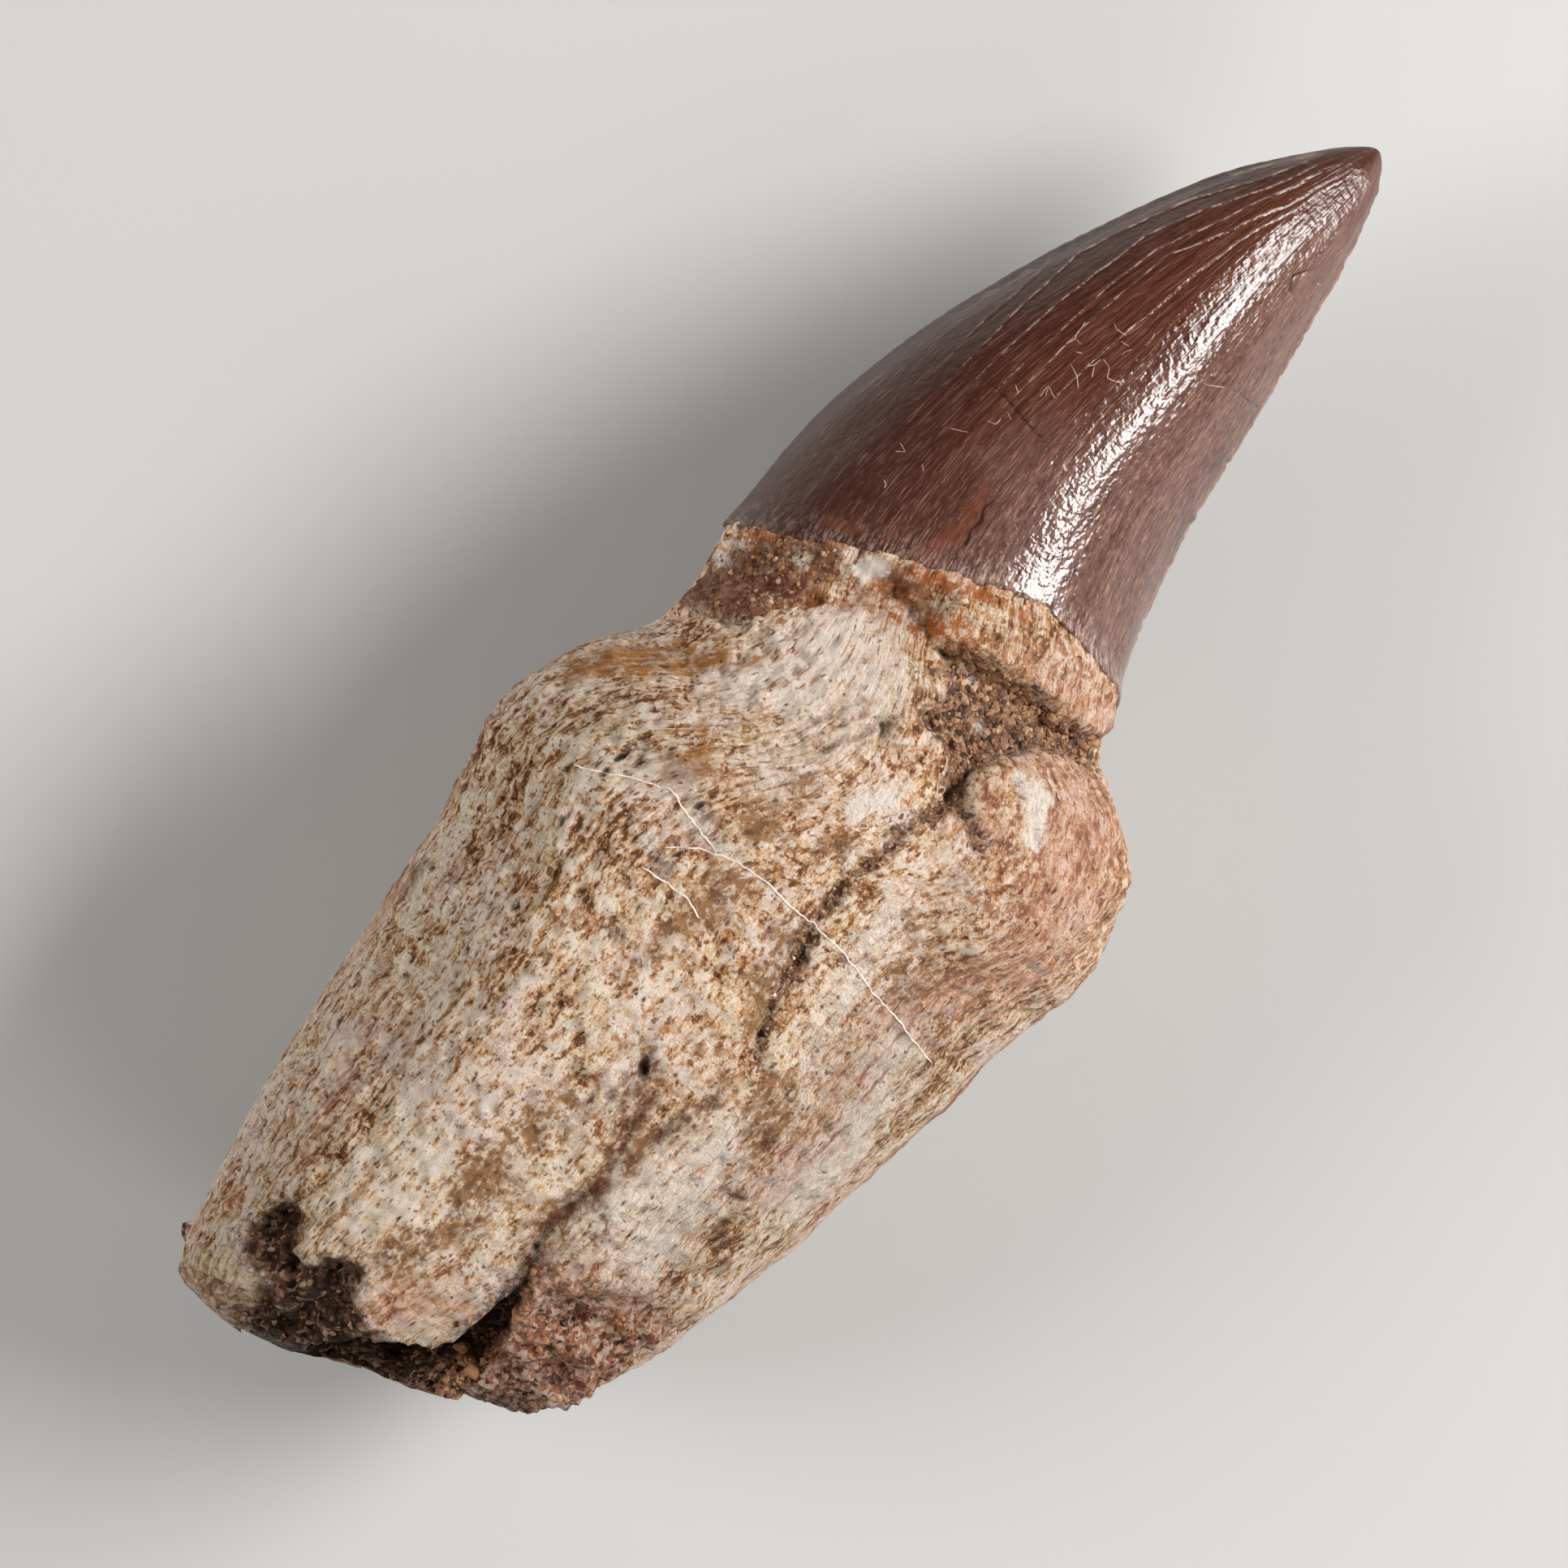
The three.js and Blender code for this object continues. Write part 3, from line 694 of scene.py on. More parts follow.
def enamel_texture(skin, above):
    """Fine striae and wrinkles, and the nicked keels, in mm."""
    striae = FINE["striae"] * noise(skin.fibre, (12, 0.6, 0.6), 35)
    waves = FINE["waves"] * noise(skin.bare, (9, 2.5, 2.5), 36)
    wrinkles = FINE["wrinkles"] * noise(skin.bare, (0.8, 0.35, 0.35), 37)
    behind = smoothstep(-np.cos(skin.angle), -0.5, 0.5)
    nicks = lerp(FINE["front_nicks"], FINE["back_nicks"], behind)
    nicks *= noise(skin.bare, (0.42, 4, 4), 38) * np.abs(np.cos(skin.angle)) ** KEEL_POWER["nicks"]
    return striae + waves + (wrinkles + nicks) * smoothstep(above, 1, 4)


def crown_damage(skin, seen_x, seen_y):
    """How deep the cracks, the chips of the keel and the worn tip are."""
    cracks = mm_inside_any(CROWN_CRACKS, seen_x, seen_y)
    skin.cracks = np.where(skin.on_top > 0.2, cracks, FAR)
    chips = mm_inside_any(KEEL_CHIPS, skin.x, skin.y)
    worn = reach(WORN_TIP, seen_x, seen_y)
    skin.worn = np.maximum(np.where(skin.on_top > 0.1, worn, FAR), chips)
    depth = FINE["cracks"] * smoothstep(skin.cracks, -0.12, 0.02)
    depth += FINE["chips"] * smoothstep(chips, -0.2, 0.1)
    return depth + FINE["worn"] * skin.on_top * smoothstep(worn, -0.3, 0.2)


def crown_relief(skin):
    """How far the enamel stands out from the bare form."""
    x, y = skin.x, skin.y
    above = x - enamel_edge(skin.angle)
    facet = -ENAMEL["depth"] * np.abs(np.sin(ENAMEL["facets"] * skin.angle / 2))
    facet = facet * lerp(1.0, 0.25, skin.on_top)
    keel = ENAMEL["keel"] * np.abs(np.cos(skin.angle)) ** ENAMEL["keel_power"]
    on_facets = smoothstep(above, 1, ENAMEL["fade"])
    off_tip = fade_out(x, LENGTH - ENAMEL["off_tip"], LENGTH)
    height = off_tip * (ENAMEL["thickness"] + on_facets * (facet + keel))
    wander = noises(skin.bare, (0.1, (6, 2.4, 2.4), 33), (0.035, (1.6, 0.8, 0.8), 34))
    seen_x, seen_y = skin.seen_x + wander, skin.seen_y + wander
    number_ridges(skin, seen_x, seen_y)
    off_ridge = np.abs(np.mod(skin.ridge_phase + 0.5, 1) - 0.5) * skin.ridge_spacing
    height += RIDGE["height"] * skin.ridged * fade_out(off_ridge, 0, RIDGE["half_width"])
    height += enamel_texture(skin, above) - crown_damage(skin, seen_x, seen_y)
    skin.above, skin.across = above, across_share(x, y)
    # The back keel's pale line: its own paler rim and, in part, a painted highlight along this lit
    # edge.
    at_back = np.maximum(0, -np.cos(skin.angle)) ** KEEL_POWER["pale"]
    skin.back_keel = at_back * smoothstep(above, 0, 3)
    return height + skin.on_top * top_relief(x, y)


def shape_crown():
    skin = Skin(crown_rings(), CROWN_MESH["around"])
    fray_edge(skin)
    skin.settle()
    height = crown_relief(skin) - skin.drop
    return skin, skin.bare + skin.outward * height[:, None]


# ---- Where the root's colours lie, on its top ----

MATRIX = [
    PIT_OUTLINE,
    [(46.8, -5.3, 0.4), (45.9, -6.4, 0.3), (45.4, -7.8, 0.2)],
    DARK_BREAK,
    [(13.6, -3.8, 0.15), (9.5, -4.4, 0.5), (6.4, -4.4, 1.2), (3.0, -5.0, 1.6)],
]
DARK = [DARK_BREAK, [(13.4, -3.85, 0.12), (9.5, -4.3, 0.45), (6.4, -4.2, 1.0)]]
SMEARS = [
    [(35.2, 2.2), (36.3, 0.9), (35.4, 0.1), (33.7, 0.2), (32.5, 0.5), (30.6, 1.2), (29.3, 2.0),
     (28.0, 2.7), (30.3, 2.6), (32.3, 2.2), (33.8, 2.3)],
    [(38.8, 2.9), (39.8, 1.7), (39.2, 0.6), (37.6, 1.7), (37.7, 2.7)],
    [(42.0, 2.5), (43.4, 1.8), (42.0, 0.9), (40.9, 1.3)],
    [(20.8, 2.0), (21.6, 1.2), (20.5, 0.0), (18.5, -0.2), (16.7, -0.6), (13.2, -0.9), (11.0, -0.9),
     (11.0, 0.8), (12.5, 2.2), (15.3, 2.6), (17.1, 1.8)],
    [(37.4, -8.7), (38.8, -10.0), (38.0, -11.1), (36.2, -10.7), (36.2, -9.5)],
    [(39.8, -7.7), (40.4, -8.7), (39.5, -8.9), (39.1, -8.3)],
    [(43.2, -8.0), (43.9, -9.1), (43.1, -9.8), (42.4, -8.8)],
    [(28.4, -6.6), (29.6, -8.6), (28.2, -9.6), (26.2, -9.4), (24.6, -9.0), (26.2, -7.4)],
    [(27.0, -5.8, 0.1), (22.4, -4.5, 0.3), (18.6, -4.0, 0.6), (16.6, -3.5, 0.7), (14.6, -3.0, 0.5)],
    [(41.0, -2.4, 0.3), (39.4, -1.2, 0.25)],
    [(35.4, -3.0, 0.6), (33.2, -3.6, 0.7), (30.4, -4.6, 0.5)],
    [(26.0, -1.2, 0.5), (24.2, -3.0, 0.6)],
    [(8.0, 2.0, 1.0), (10.5, 1.0, 0.8)],
    [(15.2, -4.6, 0.6), (16.6, -5.4, 0.8)],
]
NECK_DIRT = [
    (47.0, 15.0), (48.4, 12.8), (49.6, 12.1), (51.2, 10.8), (52.1, 9.5), (53.0, 8.1), (52.4, 7.6),
    (50.7, 7.8), (49.2, 8.3), (48.0, 8.7), (46.8, 9.7), (46.1, 10.9), (45.3, 12.1), (44.6, 15.0),
]
DIRT = [
    NECK_DIRT,
    [(53.4, 4.9, 0.7), (53.5, 3.8, 0.5)],
    [(53.9, 2.7, 0.6), (53.1, 2.8, 0.5)],
    [(47.2, 0.35, 0.1), (46.7, 0.0, 0.0)],
    [(43.9, 1.8, -0.15), (46.5, 0.55, -0.1)], [(44.3, 2.6, -0.15), (46.9, 1.35, -0.1)],
    [(44.8, 3.3, -0.15), (47.4, 2.05, -0.1)],
    [(24.4, -1.4, 0.12), (21.8, -1.5, 0.08)], [(24.4, -2.2, 0.12), (22.0, -2.25, 0.08)],
    [(23.0, -0.3, 0.05), (20.9, -0.9, 0.12)], [(21.1, -0.6, 0.05), (19.0, -0.85, 0.1)],
    [(24.2, -3.0, 0.1), (22.6, -3.3, 0.35), (21.2, -3.55, 0.4), (19.8, -3.85, 0.1),
     (18.2, -4.0, 0.4), (16.6, -3.7, 0.15), (14.8, -3.5, 0.25)],
    [(26.3, -5.9, -0.1), (24.0, -5.15, 0.0), (21.8, -4.6, -0.1)],
    [(26.4, -7.3, 0.2), (25.6, -7.9, 0.35)], [(26.0, -9.3, 0.4)], [(22.7, -10.1, 0.22)],
    [(39.4, -1.2, 0.3)], [(40.6, -2.1, 0.3)], [(34.9, -2.1, 0.25)], [(29.6, 4.1, 0.35)],
    [(25.6, 14.2, 0.2), (22.8, 14.6, 0.2)],
    [(21.2, -10.4, 0.15), (19.6, -11.3, 0.25)],
]
RUST = [
    [(49.7, 8.0), (51.0, 6.5), (51.9, 5.1), (52.3, 3.4), (53.0, 2.2), (54.1, 1.5), (54.1, -0.3),
     (52.5, -0.0), (51.7, 3.4), (51.1, 5.1)],
    [(49.8, 12.3, 0.3), (51.0, 11.0, 0.3), (52.0, 9.5, 0.35), (53.0, 8.1, 0.3)],
    [(53.8, 4.7, 0.6), (55.0, 3.4, 0.5), (55.6, 1.5, 0.3), (56.2, -1.6, 0.2)],
    [(48.9, 9.0, 0.5), (50.2, 7.8, 0.4)],
    [(52.9, 4.6, 1.0), (53.6, 3.0, 0.7)],
    [(5.1, 10.4, 0.5)],
]
OCHRE = [
    [(38.7, 15.0, 0.6), (40.5, 13.5, 0.7), (42.2, 11.8, 0.75), (43.5, 10.0, 0.6),
     (44.6, 8.4, 0.35), (46.3, 7.1, 0.12)],
    [(38.0, 8.5), (39.2, 7.9), (40.4, 7.0), (39.6, 6.2), (37.9, 5.8), (37.0, 7.2)],
]
YELLOW = [
    [(42.6, 5.8, 0.3), (42.1, 5.6, 0.25)], [(30.0, 9.4, 0.25)],
    [(33.0, 8.5, -0.3), (30.8, 8.1, -0.2), (27.4, 8.4, -0.1), (24.0, 8.2, -0.1),
     (21.0, 9.0, -0.4)],
]
PALE = [
    [(52.3, 7.2), (53.4, 6.6), (53.9, 5.3), (53.2, 5.2), (52.5, 6.2)],
    [(51.1, 9.4, 0.45)],
    [(48.2, 12.8, 0.5)],
    [(49.2, -7.0, 0.45), (48.3, -8.2, 0.6), (46.8, -9.3, 0.5)],
    [(14.7, 3.4, 0.34), (13.2, 3.5, 0.3)],
    [(18.0, 3.6, 0.3), (17.5, 3.6, 0.28)],
    [(21.2, -9.2, 0.45)],
    [(52.1, -1.8, 0.25)], [(50.4, -3.5, 0.35)], [(52.3, -1.0, 0.2)],
    [(44.6, -2.4, 0.5), (42.6, -1.6, 0.6)],
]
CREAM = [
    [(25.4, -6.6, 0.7), (22.6, -6.1, 1.1), (19.0, -5.5, 1.1), (16.4, -4.8, 0.5)],
    [(40.0, -6.6, 0.7), (35.0, -7.6, 1.1), (31.0, -8.6, 0.8)],
    [(34.5, -11.6, 1.0), (29.0, -12.4, 1.2), (24.0, -12.6, 0.8)],
    [(24.0, -8.0, 1.0), (19.5, -8.2, 1.5), (16.4, -7.8, 0.9)],
    [(50.0, 4.4, 2.2), (46.5, 6.0, 2.4), (43.0, 8.0, 1.0)],
    [(49.0, 1.6, 1.4), (45.0, 2.4, 1.8), (41.0, 3.0, 1.2)],
]
PINK = [
    [(51.2, -8.6, 0.9), (49.2, -6.3, 0.5), (47.4, -6.4, 0.8), (46.0, -8.0, 0.9)],
    [(49.0, -10.6, 2.6), (45.5, -12.5, 2.6), (42.5, -13.5, 2.2)],
    [(54.2, -2.4, 0.8), (54.8, -5.6, 1.1), (54.4, -8.6, 1.2)],
    [(40.0, -12.5, 1.6), (34.0, -10.4, 0.9), (28.0, -10.6, 0.8), (24.0, -10.8, 0.6)],
    [(6.8, 0.6, 1.6), (8.2, -1.8, 1.2)],
    [(9.0, 9.4, 0.2), (14.0, 10.4, 0.3), (19.0, 11.4, 0.2)],
    PINK_BREAK,
]
SMUDGE = [
    [(37.5, 9.5, 0.5), (37.9, 6.8, 0.8), (36.6, 4.4, 0.7), (36.5, 1.6, 0.35)],
    [(34.6, 6.0, 0.6), (33.4, 4.2, 0.4)],
]
PAINTED = {"matrix": MATRIX, "smear": SMEARS, "dirt": DIRT, "ochre": OCHRE, "pink": PINK,
           "dark": DARK, "rust": RUST, "yellow": YELLOW, "pale": PALE, "cream": CREAM,
           "smudge": SMUDGE}
# What also lies on the flanks and the back, in patches: the seed, and how rare they are.
PATCHES = {"smear": (41, 0.35), "ochre": (44, 0.7), "pink": (46, 0.3)}


def covered(shapes, x, y, on_top):
    """How many mm inside the nearest of some shapes each place is, on the top alone."""
    return np.minimum(mm_inside_any(shapes, x, y), lerp(FAR, 4.0, np.clip(on_top * 1.6, 0, 1)))


def side_patches(skin, seed, level):
    """Patches of the back and the flanks, where nothing is placed one by one."""
    patches = noises(skin.bare, (1.0, 8.0, seed), (0.5, 3.0, seed + 1))
    return 3.0 * (patches - level) - 6.0 * np.clip(skin.on_top * 1.5, 0, 1)


def root_masks(skin):
    """What the bone's material reads at each point. An area is in mm inside its edge."""
    x, y, top = skin.warped_x, skin.warped_y, skin.on_top
    top = np.clip(top + 0.5 * top * noise(skin.bare, 1.6, 48), 0, 1)
    masks = {name: covered(shapes, x, y, top) for name, shapes in PAINTED.items()}
    for name, (seed, level) in PATCHES.items():
        masks[name] = np.maximum(masks[name], side_patches(skin, seed, level))
    on_base = 2.0 * noise(skin.bare, 4.0, 43) + 0.5 - 4.0 * (1 - skin.broken) - 4.0 * top
    in_crack = np.minimum(skin.crack, 4 * top - 1)
    masks["matrix"] = np.maximum.reduce([masks["matrix"], on_base, in_crack])
    # The tone is also lifted towards the broken base and lowered towards the neck: painted light,
    # making up for the lamp's light falling off along the root.
    relief = skin.relief + lerp(0.8, -0.8, smoothstep(skin.x, 12, 44))
    return {**masks, "calcite": skin.calcite, "pore": skin.pore, "broken": skin.broken,
            "relief": relief, "fibrous": skin.fibrous}


# ---- Meshes ----

def to_frame(points):
    """From the tooth's millimetres to the row frame in metres."""
    return (points - ORIGIN) * MM


def from_frame(points):
    return points / MM + ORIGIN


def fit_to_box(*pieces):
    """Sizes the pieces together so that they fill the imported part's box exactly."""
    low = np.min([points.min(0) for points in pieces], axis=0)
    high = np.max([points.max(0) for points in pieces], axis=0)
    box_low, box_high = np.array(CAD_BOX)
    return [box_low + (points - low) * (box_high - box_low) / (high - low) for points in pieces]


def inside_box(points):
    return np.clip(points, *CAD_BOX)


def add_object(name, data):
    thing = bpy.data.objects.new(name, data)
    bpy.context.scene.collection.objects.link(thing)
    return thing


def new_piece(name, points, faces, material, smooth=True):
    mesh = bpy.data.meshes.new(name)
    mesh.vertices.add(len(points))
    mesh.vertices.foreach_set("co", np.asarray(points, np.float32).ravel())
    mesh.loops.add(faces.size)
    mesh.loops.foreach_set("vertex_index", faces.astype(np.int32).ravel())
    mesh.polygons.add(len(faces))
    mesh.polygons.foreach_set("loop_start", np.arange(0, faces.size, 3, dtype=np.int32))
    mesh.polygons.foreach_set("use_smooth", np.full(len(faces), smooth))
    mesh.update(calc_edges=True)
    mesh.validate()
    mesh.materials.append(material)
    piece = add_object(name, mesh)
    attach(piece, "root")
    return piece


def add_values(piece, values):
    for name, value in values.items():
        value = np.asarray(value, np.float32)
        kind, key = ("FLOAT", "value") if value.ndim == 1 else ("FLOAT_VECTOR", "vector")
        attribute = piece.data.attributes.new(name, kind, "POINT")
        attribute.data.foreach_set(key, value.ravel())


# ---- Materials ----

def colour(red, green, blue):
    """A colour as it looks on screen, 0 to 255, in the linear values that Blender uses."""
    shares = [value / 255 for value in (red, green, blue)]
    linear = [s / 12.92 if s <= 0.04045 else ((s + 0.055) / 1.055) ** 2.4 for s in shares]
    return (*linear, 1.0)


class Recipe:
    """One material: short calls for its nodes, and the colour painted so far.

    Sizes are in mm of the tooth. `at` is where a pattern is read, the mesh's own "place" if
    nothing else is given."""

    def __init__(self, name, colours):
        self.material = bpy.data.materials.new(name)
        self.material.use_nodes = True
        self.tree = self.material.node_tree
        self.shader = self.tree.nodes["Principled BSDF"]
        self.colours = {key: colour(*tint) for key, tint in colours.items()}
        self.read = {}

    def node(self, kind, inputs, **settings):
        node = self.tree.nodes.new(kind)
        for key, value in settings.items():
            setattr(node, key, value)
        for socket, value in inputs.items():
            self.put(node.inputs[socket], value)
        return node

    def put(self, socket, value):
        if isinstance(value, bpy.types.NodeSocket):
            self.tree.links.new(value, socket)
        else:
            socket.default_value = self.colours[value] if isinstance(value, str) else value

    def value(self, name, output="Fac"):
        """What the mesh's points carry under this name."""
        if name not in self.read:
            self.read[name] = self.node("ShaderNodeAttribute", {}, attribute_name=name)
        return self.read[name].outputs[output]

    def places(self, at):
        return self.value("place", "Vector") if at is None else at

    def vectors(self, operation, *values):
        node = self.node("ShaderNodeVectorMath", dict(enumerate(values)), operation=operation)
        return node.outputs["Value" if operation == "DOT_PRODUCT" else 0]

    def stretched(self, along, across):
        """Places along and across the fibres, each with its own scale."""
        return self.vectors("MULTIPLY", self.value("fibre", "Vector"), (along, across, across))

    def noise(self, scale, detail=3.0, roughness=0.55, at=None, warp=0.0):
        inputs = {"Vector": self.places(at), "Scale": scale, "Detail": detail,
                  "Roughness": roughness, "Distortion": warp}
        return self.node("ShaderNodeTexNoise", inputs).outputs["Fac"]

    def streaks(self, along, across, detail=3.0, roughness=0.55):
        """A noise drawn out along the fibres."""
        return self.noise(1.0, detail, roughness, self.stretched(along, across))

    def cells(self, scale, at=None):
        return self.node("ShaderNodeTexVoronoi", {"Vector": self.places(at), "Scale": scale})

    def share(self, cells, part=0):
        """The random share, 0 to 1, of each cell."""
        return self.node("ShaderNodeSeparateColor", {"Color": cells.outputs["Color"]}).outputs[part]

    def bent(self, scale, amount, at=None):
        """The same places, shifted a little by a noise, for uneven cells."""
        inputs = {"Vector": self.places(at), "Scale": scale}
        shift = self.node("ShaderNodeTexNoise", inputs).outputs["Color"]
        return self.vectors("MULTIPLY_ADD", shift, (amount, amount, amount), self.places(at))

    def facets(self, cells):
        """A height that leans its own way in each cell, like crystal faces."""
        across = self.vectors("SUBTRACT", self.places(None), cells.outputs["Position"])
        lean = self.vectors("SUBTRACT", cells.outputs["Color"], (0.5, 0.5, 0.5))
        return self.vectors("DOT_PRODUCT", across, lean)

    def math(self, operation, a, b=0.0, clamp=False):
        node = self.node("ShaderNodeMath", {0: a, 1: b}, operation=operation, use_clamp=clamp)
        return node.outputs[0]

    def smooth(self, value, low, high, to_low=0.0, to_high=1.0):
        inputs = {"Value": value, "From Min": low, "From Max": high, "To Min": to_low,
                  "To Max": to_high}
        node = self.node("ShaderNodeMapRange", inputs, interpolation_type="SMOOTHSTEP")
        return node.outputs[0]

    def times(self, *values):
        total = values[0]
        for value in values[1:]:
            total = self.math("MULTIPLY", total, value)
        return total

    def total(self, start, *parts):
        """A sum of noises about their middle, each with its weight."""
        for value, weight in parts:
            centred = self.math("SUBTRACT", value, 0.5)
            start = self.math("ADD", start, self.times(centred, weight))
        return start

    def stroke(self, name, rough, ragged=1.0, soft=0.3):
        """A listed area, with its edge broken up by a noise of 0 to 1."""
        shifted = self.math("MULTIPLY_ADD", rough, ragged)
        shifted.node.inputs[2].default_value = -ragged / 2
        return self.smooth(self.math("ADD", self.value(name), shifted), -soft, soft)

    def ramp(self, value, stops):
        """A colour for each value, blending between the stops."""
        node = self.node("ShaderNodeValToRGB", {"Fac": value})
        elements = node.color_ramp.elements
        while len(elements) < len(stops):
            elements.new(1.0)
        for element, (at, tint) in zip(elements, stops):
            element.position = at
            element.color = self.colours[tint]
        return node.outputs["Color"]

    def mix(self, factor, a, b, blend="MIX"):
        inputs = {0: factor, 6: a, 7: b}
        return self.node("ShaderNodeMix", inputs, data_type="RGBA", blend_type=blend).outputs[2]

    def paint(self, tint, *factors, blend="MIX"):
        """Lays a colour over what is painted so far, by the product of the factors."""
        self.base = self.mix(self.times(*factors), self.base, tint, blend)

    def finish(self, roughness, height, depth, specular=0.5):
        """Sets the surface. The bumps of `height` are `depth` mm deep."""
        inputs = {"Height": height, "Distance": depth * MM, "Strength": 1.0}
        normal = self.node("ShaderNodeBump", inputs).outputs["Normal"]
        values = {"Base Color": self.base, "Roughness": roughness, "Normal": normal,
                  "Specular IOR Level": specular}
        for name, value in values.items():
            self.put(self.shader.inputs[name], value)
        return self.material


BONE = {
    "white": (248, 234, 220), "cream": (234, 210, 180), "tan": (214, 172, 130),
    "light_brown": (164, 116, 76), "brown": (106, 66, 40), "dark": (66, 38, 26),
    "pink": (208, 152, 126), "red": (142, 78, 62), "ochre": (180, 116, 44),
    "yellow": (178, 142, 58), "pore": (140, 92, 74), "pit": (144, 98, 70),
    "gold": (236, 196, 128), "stain": (178, 118, 68), "rosy": (255, 234, 226),
    "yellowish": (255, 241, 214), "matrix": (142, 98, 70), "matrix_pale": (196, 158, 126),
    "matrix_dark": (50, 28, 18), "smear": (160, 116, 78), "soil": (112, 60, 32),
    "rust": (176, 98, 38), "grey": (206, 198, 190), "clot": (128, 62, 34),
    "clot_pale": (184, 122, 86), "pink_white": (222, 192, 172), "black": (34, 22, 16),
    "calcite": (122, 104, 74), "calcite_pale": (160, 142, 108),
}
# Stops of colour ramps, dark to pale.
BONE_TONES = [(0.375, "brown"), (0.44, "light_brown"), (0.497, "tan"), (0.553, "cream"),
              (0.62, "white")]
SAND_TONES = [(0.1, "matrix_dark"), (0.6, "matrix"), (0.95, "matrix_pale")]
BREAK_TONES = [(0.46, "matrix_dark"), (0.58, "clot"), (0.72, "clot_pale"), (0.84, "pink_white")]
GRAIN_TONES = [(0.0, "matrix_dark"), (0.35, "matrix"), (0.7, "smear"), (0.88, "matrix_pale"),
               (0.97, "white")]
ENAMEL_COLOURS = {
    "brown": (84, 45, 29), "band_and_shade": (54, 20, 10), "orange": (84, 40, 22),
    "purple": (106, 80, 72), "deep": (72, 45, 36), "ridge": (190, 162, 142),
    "rust": (112, 58, 38), "crack": (40, 20, 14), "pale": (158, 120, 102),
    "frost": (206, 184, 172),
}


def bone_ground(r):
    """Cream bone in fine crystals, with browns in its hollows and along its fibres."""
    fibrous = r.value("fibrous")
    flecks = r.share(r.cells(1.0, r.bent(1.5, 0.5, r.stretched(1.3, 3.2))))
    crystal = r.cells(3.4, r.bent(2.6, 0.35))
    # The relief value carries the fine relief and also painted light, paler towards the broken base.
    tone = r.total(r.math("ADD", r.times(r.value("relief"), 0.04), 0.56),
                   (r.noise(1.25, 6.0, 0.8), r.smooth(fibrous, 0, 1, 0.46, 0.24)),
                   (r.streaks(0.13, 0.5, 4.0, 0.6), r.smooth(fibrous, 0, 1, 0.12, 0.6)),
                   (r.streaks(0.55, 2.2, 6.0, 0.75), r.smooth(fibrous, 0, 1, 0.1, 0.98)),
                   (r.noise(0.5, 4.0, 0.6), 0.24), (r.noise(0.2, 2.0), 0.14),
                   (r.streaks(2.0, 4.6, 4.0, 0.7), 0.38), (flecks, 0.13), (r.share(crystal), 0.17))
    tone = r.math("ADD", tone, r.smooth(r.value("cream"), -1.2, 0.6, 0.0, 0.035))
    r.base = r.ramp(tone, BONE_TONES)
    stains = r.noise(0.8, 5.0, 0.75, r.bent(1.5, 0.6))
    golden = r.noise(1.1, 4.0, 0.7, r.bent(1.2, 0.5))
    r.paint("stain", r.smooth(stains, 0.56, 0.6, 0.0, 0.35))
    r.paint("pit", r.smooth(r.streaks(2.2, 4.0, 2.0), 0.63, 0.67, 0.0, 0.75), blend="MULTIPLY")
    r.paint("gold", r.smooth(golden, 0.54, 0.62, 0.0, 0.5), blend="MULTIPLY")
    r.paint("white", r.smooth(r.noise(4.2, 2.0), 0.38, 0.33, 0.0, 0.75))
    hue = r.smooth(r.math("ADD", r.noise(0.2, 4.0, 0.6), r.times(fibrous, -0.12)), 0.36, 0.5)
    r.paint(r.mix(hue, "yellowish", "rosy"), 0.4, blend="MULTIPLY")
    return tone, crystal


def bone_regions(r, tone):
    """The pink, cream, red, ochre, yellow, rusty and grey areas."""
    rough = r.noise(0.9, 6.0, 0.72)
    streak = r.streaks(0.35, 2.6, 4.0)
    pink = r.stroke("pink", rough, 5.0, 1.8)
    r.paint("pink", pink, 0.45, blend="MULTIPLY")
    r.paint("pink", pink, r.smooth(tone, 0.59, 0.47), 0.4)
    r.paint("white", r.stroke("cream", rough, 4.0, 1.0), r.smooth(streak, 0.6, 0.5, 0.1, 0.52))
    r.paint("red", r.smooth(streak, 0.55, 0.68), r.smooth(pink, 0.0, 0.9, 0.28, 0.66))
    ochre = r.mix(r.smooth(rough, 0.52, 0.42), "ochre", "light_brown")
    r.paint(ochre, r.stroke("ochre", rough, 2.6, 0.5), r.smooth(streak, 0.36, 0.5, 0.45, 1.0),
            r.smooth(tone, 0.7, 0.56, 0.5, 0.95))
    r.paint("yellow", r.stroke("yellow", rough, 2.6, 0.3), 0.6)
    r.paint("rust", r.stroke("rust", rough, 3.4, 0.6), r.smooth(tone, 0.64, 0.52, 0.4, 0.95))
    r.paint("grey", r.stroke("smudge", rough, 5.0, 0.6), 0.4)
    return rough


def bone_pores(r):
    """Dark pores along the fibres, small irregular pits, and the deeper pores of the mesh."""
    crowd = r.noise(0.3, 2.0)
    kinds = (("pore", 1.0, r.stretched(1.0, 2.7), 1.0), ("pit", 2.1, r.bent(2.6, 0.45), 1.02))
    deep = r.value("pore")
    spots = []
    for tint, scale, at, least in kinds:
        pore = r.cells(scale, at)
        chance = r.math("ADD", r.share(pore), r.times(crowd, 0.5))
        chance = r.smooth(chance, least, least + 0.05)
        spots.append(r.times(r.smooth(pore.outputs["Distance"], 0.3, 0.12), chance))
        r.paint(tint, spots[-1], 0.85, blend="MULTIPLY")
    r.paint("dark", r.smooth(deep, 0.25, 0.9, 0.0, 0.85))
    return r.math("MAXIMUM", r.math("MAXIMUM", *spots), deep)


